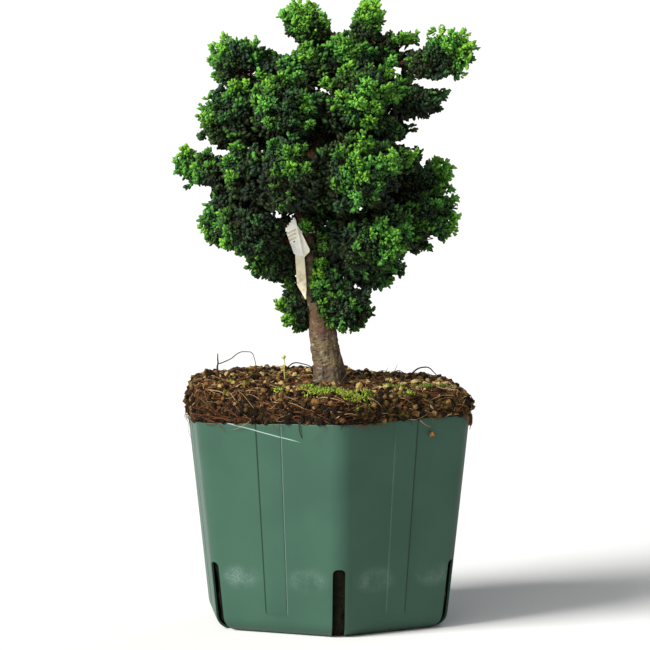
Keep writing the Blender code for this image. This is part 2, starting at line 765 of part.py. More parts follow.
def loop_ring(inset, height):
    """The loop's outline round the trunk at a height, moved inwards by inset."""
    middle = trunk_point(LABEL_TOP - LOOP_BELOW_TOP)
    reach_x, reach_y = LOOP_RADII[0] - inset, LOOP_RADII[1] - inset
    ring = []
    for step in range(LOOP_SEGMENTS):
        angle = math.tau * step / LOOP_SEGMENTS
        x = middle[0] - LOOP_HANGS_LEFT + reach_x * math.cos(angle)
        ring.append((x, middle[1] + reach_y * math.sin(angle), height))
    return ring


def label_limbs():
    """The room that the label takes, as limbs that the plant keeps clear of: its tag, the space in front of
    the tag, from where it is read, and its loop."""
    x, y = LABEL_CENTRE
    drops = np.linspace(-3 * MM, LABEL_HEAD_LENGTH + LABEL_TAIL_LENGTH, 4)
    tag = np.array([(x + LABEL_LEAN * drop, y, LABEL_TOP - drop) for drop in drops])
    view = tag - (0, LABEL_ROOM_IN_FRONT, 0)
    widths = [LABEL_ROOM] * len(tag)
    loop = loop_ring(0, LABEL_TOP - LOOP_BELOW_TOP)
    closed = loop + loop[:1]
    return [Limb(tag, widths), Limb(view, widths), Limb(closed, [LOOP_HALF_WIDTH] * len(closed))]


def slab(width, thick, outline):
    """A plate of the label, leaning with it. Its outline is pairs of a share of the width and a way down."""
    x, y = LABEL_CENTRE
    share, down = np.array(outline).T
    front = np.column_stack((x + LABEL_LEAN * down + share * width, np.full(len(down), y), LABEL_TOP - down))
    depth = np.array((0, thick / 2, 0))
    return loft((front - depth, front + depth))


def build_label():
    """The tag: a thick folded head, a tail with a pointed end, and a loop round the trunk, in one piece."""
    head = LABEL_HEAD_LENGTH
    end = head + LABEL_TAIL_LENGTH
    shoulder = 0.6 * head
    head_outline = (
        (-0.5, 0), (0.25, -0.12 * head), (0.5, 0.85 * head), (0.3, head), (-0.2, head), (-0.5, 0.5 * head),
    )
    tail_outline = (
        (-0.5, shoulder), (0.5, shoulder), (0.35, end), (0.15, end), (-0.6, end - LABEL_TAIL_CUT),
    )
    label = place("label", slab(LABEL_HEAD_WIDTH, LABEL_HEAD_THICK, head_outline), LABEL_CREAM)
    tail = place("tail", slab(LABEL_STRAP_WIDTH, LABEL_STRAP_THICK, tail_outline), LABEL_CREAM)
    low = LABEL_TOP - LOOP_BELOW_TOP - LOOP_HALF_WIDTH
    high = LABEL_TOP - LOOP_BELOW_TOP + LOOP_HALF_WIDTH
    mesh = bmesh.new()
    rows = []
    for inset, height in ((0, low), (0, high), (LABEL_STRAP_THICK, high), (LABEL_STRAP_THICK, low)):
        rows.append([mesh.verts.new(point) for point in loop_ring(inset, height)])
    for row, following in zip(rows, rows[1:] + rows[:1]):
        for i in range(LOOP_SEGMENTS):
            j = (i + 1) % LOOP_SEGMENTS
            mesh.faces.new((row[i], row[j], following[j], following[i]))
    bmesh.ops.recalc_face_normals(mesh, faces=mesh.faces)
    boolean(label, [tail, place("loop", mesh, LABEL_CREAM)], "UNION")
    return label


build_pot()
build_soil()
build_trunk()
masses = [Mass(name, *facts) for name, facts in MASSES.items()]
limbs = label_limbs()
for mass in masses:
    mass.find_root(limbs)
    limbs.append(mass.limb)
for index, mass in enumerate(masses):
    for other in masses[index + 1 :]:
        mass.meet(other)
for mass in masses:
    if mass.bough:
        build_bough("bough_" + mass.name, mass.bough)
for mass in masses:
    passing = [limb for limb in limbs if limb is not mass.limb]
    build_mass(mass, passing)
build_label()
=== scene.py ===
import math

import bmesh
import bpy
import numpy as np
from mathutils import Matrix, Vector


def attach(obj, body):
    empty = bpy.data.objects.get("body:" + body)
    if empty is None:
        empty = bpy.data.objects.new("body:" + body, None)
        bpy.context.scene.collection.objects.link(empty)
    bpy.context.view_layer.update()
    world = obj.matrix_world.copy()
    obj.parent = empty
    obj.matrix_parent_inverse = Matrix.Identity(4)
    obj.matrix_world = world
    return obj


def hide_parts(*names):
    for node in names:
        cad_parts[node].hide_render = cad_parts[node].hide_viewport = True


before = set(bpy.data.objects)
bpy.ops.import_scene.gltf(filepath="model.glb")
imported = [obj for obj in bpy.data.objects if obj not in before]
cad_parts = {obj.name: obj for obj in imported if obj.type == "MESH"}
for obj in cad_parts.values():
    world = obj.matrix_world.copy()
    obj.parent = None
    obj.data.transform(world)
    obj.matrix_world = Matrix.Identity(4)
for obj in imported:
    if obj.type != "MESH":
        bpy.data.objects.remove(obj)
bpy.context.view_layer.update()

# Camera, floor and studio light
# The plant stands on a plain pale floor that runs on past every edge of the view.
# A broad soft light comes from the upper left, fainter ones from the front and from behind, and the sky is
# even and pale.

CAMERA_AIM = Vector((-0.0013, 0, 0.190))
CAMERA_DISTANCE = 3.0
CAMERA_RISE_DEG = 5
CAMERA_LENS_MM = 259.6
FLOOR_REACH = 60
SKY = (0.95, 0.98, 1.0)
SKY_STRENGTH = 0.2
FLOOR_COLOUR = (0.76, 0.76, 0.76)
# Each light's direction, strength, softness in degrees and colour
LIGHTS = {
    "key_light": ((-0.76, -0.56, 0.62), 6.0, 28, (1.0, 0.985, 0.95)),
    "front_light": ((-0.25, -0.92, 0.30), 1.3, 50, (1.0, 0.99, 0.97)),
    "back_light": ((0.50, 0.75, 0.55), 0.6, 40, (0.95, 0.98, 1.0)),
}

camera = bpy.data.objects.new("camera", bpy.data.cameras.new("camera"))
camera.data.lens = CAMERA_LENS_MM
rise = math.radians(CAMERA_RISE_DEG)
camera.location = CAMERA_AIM + CAMERA_DISTANCE * Vector((0, -math.cos(rise), math.sin(rise)))
camera.rotation_euler = (CAMERA_AIM - camera.location).to_track_quat("-Z", "Y").to_euler()
bpy.context.scene.collection.objects.link(camera)
bpy.context.scene.camera = camera
bpy.context.scene.view_settings.view_transform = "Standard"

world = bpy.data.worlds.new("studio")
world.use_nodes = True
background = world.node_tree.nodes["Background"]
background.inputs["Color"].default_value = (*SKY, 1)
background.inputs["Strength"].default_value = SKY_STRENGTH
bpy.context.scene.world = world

for name, (towards, strength, softness_deg, colour) in LIGHTS.items():
    light = bpy.data.objects.new(name, bpy.data.lights.new(name, "SUN"))
    light.data.energy = strength
    light.data.angle = math.radians(softness_deg)
    light.data.color = colour
    light.rotation_euler = Vector(towards).to_track_quat("Z", "Y").to_euler()
    bpy.context.scene.collection.objects.link(light)


class Signal:
    """A shader socket in an expression. Each operator adds the Math node that works it out."""

    def __init__(self, finish, socket):
        self.finish = finish
        self.socket = socket

    def __add__(self, other):
        return self.finish.math("ADD", self, other)

    def __sub__(self, other):
        return self.finish.math("SUBTRACT", self, other)

    def __rsub__(self, other):
        return self.finish.math("SUBTRACT", other, self)

    def __mul__(self, other):
        return self.finish.math("MULTIPLY", self, other)

    def __truediv__(self, other):
        return self.finish.math("DIVIDE", self, other)

    def __rtruediv__(self, other):
        return self.finish.math("DIVIDE", other, self)

    def __abs__(self):
        return self.finish.math("ABSOLUTE", self)

    __radd__ = __add__
    __rmul__ = __mul__


class Finish:
    """A material in the making: its nodes, and the Principled shader that they feed."""

    def __init__(self, name, colour, roughness, shine=0.12):
        self.material = bpy.data.materials.new(name)
        self.material.use_nodes = True
        self.tree = self.material.node_tree
        self.shader = self.tree.nodes["Principled BSDF"]
        self.feed({"Base Color": colour, "Roughness": roughness, "Specular IOR Level": shine})

    def put(self, socket, value):
        """Links a signal to a socket, or sets the socket's own value."""
        if isinstance(value, Signal):
            self.tree.links.new(value.socket, socket)
        elif socket.type == "RGBA":
            socket.default_value = (*value, 1)
        else:
            socket.default_value = value

    def node(self, kind, settings=None, inputs=None, output=0):
        """Any node: its type, its settings, which are set first, and the values or links of its sockets."""
        made = self.tree.nodes.new("ShaderNode" + kind)
        for setting, value in (settings or {}).items():
            setattr(made, setting, value)
        for name, value in (inputs or {}).items():
            self.put(made.inputs[name], value)
        return Signal(self, made.outputs[output])

    def math(self, operation, *values):
        """The Math node of an operation over these values."""
        return self.node("Math", {"operation": operation}, dict(enumerate(values)))

    def feed(self, inputs):
        """Sets or links sockets of the Principled shader."""
        for name, value in inputs.items():
            self.put(self.shader.inputs[name], value)

    def place(self, stretch=(1, 1, 1)):
        """The place on the object, in metres, stretched along each axis."""
        here = self.node("TexCoord", output="Object")
        return self.node("Mapping", {}, {"Vector": here, "Scale": stretch})

    def axes(self):
        """The place's x, y and z, in metres."""
        parts = self.node("SeparateXYZ", {}, {0: self.place()})
        return [Signal(self, output) for output in parts.socket.node.outputs]

    def noise(self, scale, detail=3.0, stretch=(1, 1, 1)):
        """Soft noise between 0 and 1, with scale as its number of waves in a metre."""
        sockets = {"Vector": self.place(stretch), "Scale": scale, "Detail": detail}
        return self.node("TexNoise", {}, sockets)

    def ramp(self, signal, low, high):
        """A smooth step from 0 at low to 1 at high."""
        sockets = {"Value": signal, "From Min": low, "From Max": high}
        return self.node("MapRange", {"interpolation_type": "SMOOTHSTEP"}, sockets)

    def mix(self, share, first, second):
        """One colour turning into another as share goes from 0 to 1."""
        return self.node("Mix", {"data_type": "RGBA"}, {0: share, 6: first, 7: second}, output=2)

    def patches(self, first, second, scale, low, high, detail=3.0, stretch=(1, 1, 1), share=1):
        """A colour with patches of a second one, as strong as the share, where noise rises from low to
        high."""
        spots = self.ramp(self.noise(scale, detail, stretch), low, high)
        return self.mix(share * spots, first, second)

    def bump(self, height, distance, strength=1.0):
        """Relief: the height signal times a distance in metres."""
        sockets = {"Strength": strength, "Distance": distance, "Height": height}
        self.feed({"Normal": self.node("Bump", {}, sockets)})


def skin(name, points, face_arrays, finish, smooth=True):
    """An object from an array of points and arrays of faces, each array with its own number of corners."""
    mesh = bpy.data.meshes.new(name)
    points = np.ascontiguousarray(points, np.float32).reshape(-1, 3)
    corners = np.concatenate([faces.ravel() for faces in face_arrays])
    sizes = np.concatenate([np.full(len(faces), faces.shape[1]) for faces in face_arrays])
    mesh.vertices.add(len(points))
    mesh.vertices.foreach_set("co", points.ravel())
    mesh.loops.add(len(corners))
    mesh.loops.foreach_set("vertex_index", corners.astype(np.int32))
    mesh.polygons.add(len(sizes))
    mesh.polygons.foreach_set("loop_start", (np.cumsum(sizes) - sizes).astype(np.int32))
    mesh.update(calc_edges=True)
    mesh.validate()
    mesh.shade_smooth() if smooth else mesh.shade_flat()
    mesh.materials.append(finish.material)
    made = bpy.data.objects.new(name, mesh)
    bpy.context.scene.collection.objects.link(made)
    return made


floor_finish = Finish("studio_floor", FLOOR_COLOUR, 0.9)
floor_finish.feed({"Roughness": 0.85 + 0.1 * floor_finish.noise(3)})
floor_corners = FLOOR_REACH * np.array([(-1, -1, 0), (1, -1, 0), (1, 1, 0), (-1, 1, 0)])
skin("floor", floor_corners, [np.array([[0, 1, 2, 3]])], floor_finish)

# Pot
# A six-sided training pot, moulded in one piece from soft green polypropylene, with a raised band up the
# middle of each side and a slit up each corner. Its rim was cut down by hand, so it slants and wavers.

MM = 0.001
UP = np.array((0.0, 0.0, 1.0))
SIDES = 6
HALF_SIDE_DEG = 180 / SIDES
POT_HEIGHT = 134 * MM
POT_RIM_HALF_FLATS = 87 * MM
POT_BASE_HALF_FLATS = 73 * MM
POT_WALL = 1.4 * MM
POT_CORNER_RADIUS = 14 * MM
POT_FOOT_RADIUS = 9 * MM
POT_FRONT_CORNER_DEG = -85
RIM_SLANT = 2.6 * MM
RIM_HIGH_SIDE_DEG = -45
RIM_WAVER = 0.35 * MM
RIM_ROUNDING = 0.35 * MM
BAND_HALF_SHARE = 0.08
BAND_STEP_SHARE = 0.006
BAND_RISE = 0.7 * MM
BAND_START = 12 * MM
BAND_FADE = 3 * MM
SLIT_WIDTH = 8 * MM
SLIT_HEIGHT = 44 * MM
SLIT_TOP_RADIUS = 3 * MM
SLIT_REACH = (54 * MM, 110 * MM)
SLIT_LIP = 0.45 * MM
POT_GREEN = (0.025, 0.067, 0.044)
POT_PALE_GREEN = (0.033, 0.083, 0.056)
POT_SHADE = (0.006, 0.018, 0.011)
# Pale for the scuffs and the scratch, and for the painted highlight along the bands' inner edges
SCUFF_AND_HIGHLIGHT_WHITE = (0.30, 0.38, 0.36)
# The scratch's ends across and up, half its width, how far it wavers, and how far each end fades
SCRATCH_ENDS = ((-67 * MM, 135.5 * MM), (-15 * MM, 124 * MM))
SCRATCH_HALF_WIDTH = 0.45 * MM
SCRATCH_WAVER = 0.6 * MM
SCRATCH_FADES = (4 * MM, 9 * MM)
# Where the scuffs' middles lie across, the height that they share, and half their width and height
SCUFFS = (-54 * MM, -12 * MM, 30 * MM, 68 * MM)
SCUFF_HEIGHT = 36 * MM
SCUFF_SIZE = (17 * MM, 11 * MM)
# The lines along a band's edges, painted shade on the outer edge and a painted highlight on the inner one:
# their place, and half the width of the shade line and of the highlight line, as shares of the side's
# length
BAND_LINE = (0.086, 0.011, 0.005)


def grid_faces(rows, columns):
    """Quads between neighbouring rows of a grid whose columns close into a ring."""
    row, column = np.meshgrid(np.arange(rows - 1), np.arange(columns), indexing="ij")
    after = (column + 1) % columns
    corners = (row * columns + column, row * columns + after)
    corners += ((row + 1) * columns + after, (row + 1) * columns + column)
    return np.stack(corners, axis=-1).reshape(-1, 4)


def fan_faces(first, columns, pole, flipped):
    """Triangles from a ring of the grid, whose points start at first, to one point."""
    ring = first + np.arange(columns)
    after = np.roll(ring, -1)
    pair = (after, ring) if flipped else (ring, after)
    return np.stack((*pair, np.full(columns, pole)), axis=-1)


def closed_faces(rows, columns):
    """The faces of a grid of rings that a point closes at each end. The two points follow the grid's."""
    last = rows * columns
    ends = (fan_faces(0, columns, last, True), fan_faces(last - columns, columns, last + 1, False))
    return [grid_faces(rows, columns), *ends]


def prism_faces(count):
    """The walls and the two caps of a prism between two rings of points."""
    ring = np.arange(count)
    return [grid_faces(2, count), np.stack((ring[::-1], ring + count))]


def hexagon_reach(turn, half_flats, radius):
    """How far a six-sided outline with round corners lies from its axis, by direction. On a side it is
    the half width over the cosine from the side's middle, and in a corner the far root of the arc's
    circle."""
    half_side = math.radians(HALF_SIDE_DEG)
    from_corner = (turn - math.radians(POT_FRONT_CORNER_DEG) + half_side) % (2 * half_side) - half_side
    on_side = half_flats / np.cos(half_side - np.abs(from_corner))
    centre = (half_flats - radius) / math.cos(half_side)
    arc_end = np.arctan2(radius * math.sin(half_side), centre + radius * math.cos(half_side))
    bulge = np.maximum(radius**2 - (centre * np.sin(from_corner)) ** 2, 0)
    in_corner = centre * np.cos(from_corner) + np.sqrt(bulge)
    return np.where(np.abs(from_corner) < arc_end, in_corner, on_side)


def side_share(turn):
    """Where a direction meets its side, as a share of the side's length from its middle."""
    half_side = math.radians(HALF_SIDE_DEG)
    from_middle = (turn - math.radians(POT_FRONT_CORNER_DEG)) % (2 * half_side) - half_side
    return np.tan(from_middle) / (2 * math.tan(half_side))


def pot_half_flats(height):
    """Half the pot's width across flats, which grows evenly with the height."""
    return POT_BASE_HALF_FLATS + (POT_RIM_HALF_FLATS - POT_BASE_HALF_FLATS) * height / POT_HEIGHT


def rim_offset(x, y):
    """How much the cut rim stands above its mean height: a slant, and a small waver along the cut."""
    high_side = math.radians(RIM_HIGH_SIDE_DEG)
    slant = RIM_SLANT * (x * math.cos(high_side) + y * math.sin(high_side)) / POT_RIM_HALF_FLATS
    turn = np.arctan2(y, x)
    waver = np.sin(7 * turn + 1) + 0.7 * np.sin(17 * turn + 2) + 0.6 * np.sin(31 * turn)
    return slant + RIM_WAVER * waver / 2


def pot_skin(turn, height, inset, band):
    """The pot's surface by direction and height: the hexagon, moved in by inset and out by the raised band,
    with its height carried to the cut rim as the third power of the way up."""
    share = np.abs(side_share(turn))
    step = np.clip((BAND_HALF_SHARE + BAND_STEP_SHARE - share) / BAND_STEP_SHARE, 0, 1)
    proud = band * BAND_RISE * step * step * (3 - 2 * step)
    half_flats = pot_half_flats(height) - inset
    radius = np.maximum(POT_CORNER_RADIUS - inset, MM)
    reach = hexagon_reach(turn, half_flats, radius) + proud
    x, y = reach * np.cos(turn), reach * np.sin(turn)
    z = height + rim_offset(x, y) * (height / POT_HEIGHT) ** 3
    return np.stack((x, y, z), axis=-1)


def pot_turns():
    """The grid's directions: close together in the corners and at the edges of the bands."""
    edge = BAND_HALF_SHARE + BAND_STEP_SHARE
    shares = [0, 0.03, 0.055, *np.linspace(BAND_HALF_SHARE - 0.001, edge + 0.001, 6), 0.12, 0.18, 0.24, 0.3]
    shares = np.concatenate((shares, np.linspace(0.36, 0.5, 11)))
    shares = np.concatenate((-shares[:0:-1], shares[:-1]))
    turns = np.arctan(shares * 2 * math.tan(math.radians(HALF_SIDE_DEG)))
    middles = math.radians(POT_FRONT_CORNER_DEG + HALF_SIDE_DEG) + np.arange(SIDES) * math.tau / SIDES
    return (middles[:, None] + turns).ravel()


def foot_arc(radius, steps):
    """Inset and height round the pot's foot, as a quarter circle about the foot's centre."""
    turn = np.linspace(0, math.pi / 2, steps)
    return POT_FOOT_RADIUS - radius * np.sin(turn), POT_FOOT_RADIUS - radius * np.cos(turn)


def slit_bar(corner):
    """A bar with a round-cornered top, across the wall, foot and floor at one corner."""
    turn = math.radians(POT_FRONT_CORNER_DEG) + corner * math.tau / SIDES
    outward = np.array((math.cos(turn), math.sin(turn), 0))
    across = np.cross(UP, outward)
    inner = SLIT_WIDTH / 2 - SLIT_TOP_RADIUS
    arc = np.linspace(0, math.pi / 2, 7)
    wide = np.concatenate(([SLIT_WIDTH / 2], inner + SLIT_TOP_RADIUS * np.cos(arc)))
    high = np.concatenate(([-POT_FOOT_RADIUS], SLIT_HEIGHT + SLIT_TOP_RADIUS * (np.sin(arc) - 1)))
    outline_x = np.concatenate((wide, -wide[::-1]))
    outline_z = np.concatenate((high, high[::-1]))
    ring = outline_x[:, None] * across + outline_z[:, None] * UP
    points = np.stack([ring + outward * reach for reach in SLIT_REACH])
    return skin(f"slit_{corner}", points, prism_faces(len(ring)), pot_finish)


def cut(piece, others, operation="DIFFERENCE"):
    """Cuts other closed meshes from a piece, or joins them to it, and removes them."""
    group = bpy.data.collections.new("operands")
    for other in others:
        bpy.context.scene.collection.objects.unlink(other)
        group.objects.link(other)
    step = piece.modifiers.new("cut", "BOOLEAN")
    step.operation = operation
    step.operand_type = "COLLECTION"
    step.collection = group
    step.solver = "EXACT"
    graph = bpy.context.evaluated_depsgraph_get()
    result = bpy.data.meshes.new_from_object(piece.evaluated_get(graph))
    piece.modifiers.clear()
    piece.data = result
    for other in others:
        bpy.data.objects.remove(other)
    bpy.data.collections.remove(group)


def settle(piece, slot, *nodes):
    """Makes a piece ride with the plant and hides the solids that it stands for. The slot is not used."""
    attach(piece, "root")
    if nodes:
        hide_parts(*nodes)


def pot_plastic():
    """Green plastic with faint mould streaks, pale scuffs above the foot, one long scratch, and painted
    shade and painted highlight lines along the bands' edges, all on the photographed side. The edges are
    found by side_share's formula, written in nodes. Each mark is a smooth step on the distance from its
    middle."""
    finish = Finish("pot_plastic", POT_GREEN, 0.42, shine=0.2)
    colour = finish.patches(POT_GREEN, POT_PALE_GREEN, 25, 0.2, 0.85)
    x, y, z = finish.axes()
    front = finish.ramp(y, 0, -10 * MM)
    half_side = math.radians(HALF_SIDE_DEG)
    turn = finish.math("ARCTAN2", y, x)
    from_side = turn - (math.radians(POT_FRONT_CORNER_DEG) + half_side)
    from_middle = finish.math("WRAP", from_side, half_side, -half_side)
    share = finish.math("TANGENT", from_middle) / (2 * math.tan(half_side))
    outward = share * finish.math("SIGN", x)
    place, shade_line_width, highlight_line_width = BAND_LINE
    on_band = finish.ramp(z, BAND_START, BAND_START + BAND_FADE) * front
    # Painted shade as a dark line on each band's outer edge, painted highlight as a pale line on its inner
    # edge
    painted_edge_shade = finish.ramp(abs(outward - place), shade_line_width, 0.3 * shade_line_width) * on_band
    painted_edge_highlight = finish.ramp(abs(outward + place), highlight_line_width, 0.3 * highlight_line_width) * on_band
    colour = finish.mix(0.95 * painted_edge_shade, colour, POT_SHADE)
    colour = finish.mix(0.3 * painted_edge_highlight * finish.ramp(x, 0, -9 * MM), colour, SCUFF_AND_HIGHLIGHT_WHITE)
    cloud = 0
    for middle in SCUFFS:
        aside, above = (x - middle) / SCUFF_SIZE[0], (z - SCUFF_HEIGHT) / SCUFF_SIZE[1]
        cloud = cloud + finish.ramp(aside * aside + above * above, 1, 0)
    specks = 0.25 + 0.75 * finish.ramp(finish.noise(1500, 4), 0.45, 0.65)
    scuffs = cloud * cloud * specks * finish.ramp(finish.noise(70, 4), 0.25, 0.75) * front
    colour = finish.mix(0.36 * scuffs, colour, SCUFF_AND_HIGHLIGHT_WHITE)
    (x0, z0), (x1, z1) = SCRATCH_ENDS
    line = abs(z - z0 - (x - x0) * ((z1 - z0) / (x1 - x0)) + SCRATCH_WAVER * finish.noise(60, 1))
    along = finish.ramp(x, x0, x0 + SCRATCH_FADES[0]) * finish.ramp(x, x1, x1 - SCRATCH_FADES[1])
    scratch = finish.ramp(line, SCRATCH_HALF_WIDTH, SCRATCH_HALF_WIDTH / 3) * along * front
    colour = finish.mix(0.8 * scratch, colour, SCUFF_AND_HIGHLIGHT_WHITE)
    streaks = finish.noise(320, 3, (1, 1, 0.04))
    finish.feed({"Base Color": colour, "Roughness": 0.36 + 0.16 * streaks + 0.2 * scuffs})
    finish.bump(streaks + 0.5 * finish.noise(1100, 2), 0.12 * MM, 0.6)
    return finish


pot_finish = pot_plastic()
turns = pot_turns()
foot_inset, foot_height = foot_arc(POT_FOOT_RADIUS, 8)
floor_inset, floor_height = foot_arc(POT_FOOT_RADIUS - POT_WALL, 7)
rounding = RIM_ROUNDING * (1 - np.sqrt(0.5))
# Rings up the wall, closer together where the bands start
wall_heights = np.array((11, BAND_START / MM, 13.5, 15, 22, 32, 46, 62, 78, 94, 108, 120, 129, 132)) * MM
# Inset and height over the rounded rim, from its outer to its inner edge
rim_profile = np.array(
    (
        (0, POT_HEIGHT - RIM_ROUNDING),
        (rounding, POT_HEIGHT - rounding),
        (RIM_ROUNDING, POT_HEIGHT),
        (POT_WALL - RIM_ROUNDING, POT_HEIGHT),
        (POT_WALL - rounding, POT_HEIGHT - rounding),
        (POT_WALL, POT_HEIGHT - RIM_ROUNDING),
    )
)
inset = np.concatenate((foot_inset, np.zeros(len(wall_heights)), rim_profile[:, 0]))
height = np.concatenate((foot_height, wall_heights, rim_profile[:, 1]))
band = np.clip((height - BAND_START) / BAND_FADE, 0, 1)
# The rim's inner half and the wall's inside have no band
band[-3:] = 0
inset = np.concatenate((inset, np.full(len(wall_heights), POT_WALL), floor_inset[::-1]))
height = np.concatenate((height, wall_heights[::-1], floor_height[::-1]))
band = np.concatenate((band, np.zeros(len(height) - len(band))))
shell = pot_skin(turns, height[:, None], inset[:, None], band[:, None])
poles = np.array(((0, 0, 0), (0, 0, POT_WALL)))
pot_points = np.concatenate((shell.reshape(-1, 3), poles))
pot = skin("pot_shell", pot_points, closed_faces(len(height), len(turns)), pot_finish)
cut(pot, [slit_bar(corner) for corner in range(SIDES)])
pot.data.shade_smooth()
pot.data.set_sharp_from_angle(angle=math.radians(50))
lips = pot.modifiers.new("lips", "BEVEL")
lips.width = SLIT_LIP
lips.segments = 2
lips.limit_method = "ANGLE"
lips.angle_limit = math.radians(55)
settle(pot, "pot_plastic", "pot")

# Root ball
# Damp potting soil held together by fine roots, moulded by the pot and standing proud of its cut rim, with
# a rough domed top. It was never topped up or tidied.

GROUND = 153 * MM
GROUND_FALL = 0.026
BALL_INSET = 3.4 * MM
BALL_GAP = 0.3 * MM
BALL_COLUMNS = 440
# The rings over the ball, by their way from the rim in millimetres
BALL_RINGS = (*np.arange(0, 60, 1.1), *np.arange(60, 95, 2.2))
# The way over the ball from the rim, the inset from the rim's outline, the share of the way up to the
# ground, the rise above it, the tilt of the surface in degrees, and how rough it is
BALL_PROFILE = (
    (0, 1.8, 0, 0, 0, 0),
    (1.5, -0.3, 0.06, 0, 0, 0.6),
    (9, -0.4, 0.45, 0, 12, 1),
    (17, 3, 0.85, 0, 45, 1),
    (26, 11, 1, 0.5, 80, 1),
    (41, 26, 1, 0.5, 90, 1),
    (61, 46, 1, 0, 90, 1),
    (96, 81, 1, 0, 90, 0.6),
)
# Each layer of the relief: its spacing, depth and seed, over the ball and inside the pot
BALL_RELIEF = ((13 * MM, 1.8 * MM, 1), (5 * MM, 1.2 * MM, 2), (2.2 * MM, 0.8 * MM, 3))
UNDER_RELIEF = ((6 * MM, 1.6 * MM, 4), (2.6 * MM, 0.9 * MM, 5))
UNDER_RELIEF_MOST = 1.4 * MM
# How far out the root ball's skin stands where it hangs over the rim
HANG_OUT = 2.8 * MM
# The heights between which painted shade darkens the root ball's side
SLOPE_SHADE_FROM = 152 * MM
SLOPE_SHADE_BELOW = 144 * MM
SOIL_BROWN = (0.052, 0.028, 0.0095)
SOIL_DARK = (0.008, 0.0045, 0.002)
SOIL_IN_SHADE = (0.0035, 0.0035, 0.002)
SOIL_ORANGE = (0.150, 0.077, 0.024)
SOIL_TAN = (0.34, 0.25, 0.10)
SOIL_OLIVE = (0.115, 0.095, 0.018)


def lattice_noise(points, spacing, seed):
    """Smooth noise between -1 and 1. A cube of random numbers repeats through space, spacing metres apart,
    and each point mixes the eight numbers round it by smooth steps."""
    size = 32
    table = np.random.default_rng(seed).uniform(-1, 1, (size, size, size))
    at = points / spacing
    base = np.floor(at).astype(int)
    share = at - base
    share = share * share * (3 - 2 * share)
    total = np.zeros(points.shape[:-1])
    for corner in np.ndindex(2, 2, 2):
        index = (base + corner) % size
        weight = np.prod(np.where(corner, share, 1 - share), axis=-1)
        total += weight * table[index[..., 0], index[..., 1], index[..., 2]]
    return total


def layered_noise(points, layers):
    """Roughness by place: layers of smooth noise, each times its depth, added up."""
    return sum(depth * lattice_noise(points, spacing, seed) for spacing, depth, seed in layers)


def ball_facts(turn, way):
    """The smooth root ball by direction and way over it: points, the normals and the roughness."""
    stations = np.array(BALL_PROFILE).T
    ways = stations[0] * MM
    inset, share, rise, tilt, rough = (np.interp(way, ways, column) for column in stations[1:])
    outline = hexagon_reach(turn, POT_RIM_HALF_FLATS, POT_CORNER_RADIUS)
    edge_x, edge_y = outline * np.cos(turn), outline * np.sin(turn)
    rim = POT_HEIGHT + rim_offset(edge_x, edge_y)
    shrink = 1 - inset * MM / POT_RIM_HALF_FLATS
    x, y = edge_x * shrink, edge_y * shrink
    ground = GROUND - GROUND_FALL * x + rise * MM
    tilt = np.radians(tilt)
    level = np.cos(tilt)
    normal = np.stack((np.cos(turn) * level, np.sin(turn) * level, np.sin(tilt)), axis=-1)
    return np.stack((x, y, rim + (ground - rim) * share), axis=-1), normal, rough


def ball_skin(turn, way, lift=0.0):
    """The rough root ball: the smooth one, moved along its normal by the relief and by the lift. Where the
    way is negative, the point hangs that far below the rim, just outside the pot."""
    turn, way = np.broadcast_arrays(turn, way)
    points, normal, rough = ball_facts(turn, np.maximum(way, 0))
    hang = np.maximum(-way, 0)
    out = layered_noise(points, BALL_RELIEF) * rough + lift + HANG_OUT * (hang > 0)
    return points + normal * out[..., None] - hang[..., None] * UP


def slope_shade(finish):
    """How much painted shade darkens the root ball's side: a smooth step from 0 on the ground to 1 below
    its edge.
    """
    return finish.ramp(finish.axes()[2], SLOPE_SHADE_FROM, SLOPE_SHADE_BELOW)


def soil_finish():
    """Damp dark brown soil with orange and tan flecks, and greener on the right. Painted shade darkens it
    down its side and turns it black down in the pot.
    """
    finish = Finish("soil", SOIL_BROWN, 0.9)
    colour = finish.patches(SOIL_DARK, SOIL_BROWN, 140, 0.42, 0.68)
    colour = finish.patches(colour, SOIL_ORANGE, 520, 0.52, 0.66)
    colour = finish.patches(colour, SOIL_TAN, 900, 0.66, 0.72, detail=2, share=0.7)
    x, _, z = finish.axes()
    # Painted shade: darker down the root ball's side, below the ground's edge
    colour = finish.mix(0.5 * slope_shade(finish), colour, SOIL_DARK)
    # Painted shade: black down in the pot, where the soil shows through the slits
    colour = finish.mix(finish.ramp(z, 110 * MM, 70 * MM), colour, SOIL_IN_SHADE)
    colour = finish.patches(colour, SOIL_OLIVE, 180, 0.42, 0.58, share=0.8 * finish.ramp(x, 0, 55 * MM))
    finish.feed({"Base Color": colour})
    finish.bump(finish.noise(1300, 4), 1.5 * MM, 0.9)
    return finish


turns = math.tau * np.arange(BALL_COLUMNS) / BALL_COLUMNS
under_height = np.linspace(0, POT_HEIGHT - 10 * MM, 26) + POT_WALL + BALL_GAP
above_foot = np.maximum(POT_FOOT_RADIUS - under_height, 0)
under_inset = BALL_INSET + POT_FOOT_RADIUS - np.sqrt(POT_FOOT_RADIUS**2 - above_foot**2)
under = pot_skin(turns, under_height[:, None], under_inset[:, None], 0)
roughness = np.minimum(layered_noise(under, UNDER_RELIEF), UNDER_RELIEF_MOST)
under[..., :2] *= 1 + (roughness / np.linalg.norm(under[..., :2], axis=-1))[..., None]
over = ball_skin(turns, np.array(BALL_RINGS)[:, None] * MM)
ball = np.concatenate((under, over))
poles = np.array(((0, 0, POT_WALL + BALL_GAP), (0, 0, GROUND - 1 * MM)))
points = np.concatenate((ball.reshape(-1, 3), poles))
root_ball = skin("root_ball", points, closed_faces(len(ball), BALL_COLUMNS), soil_finish())
settle(root_ball, "soil", "soil")

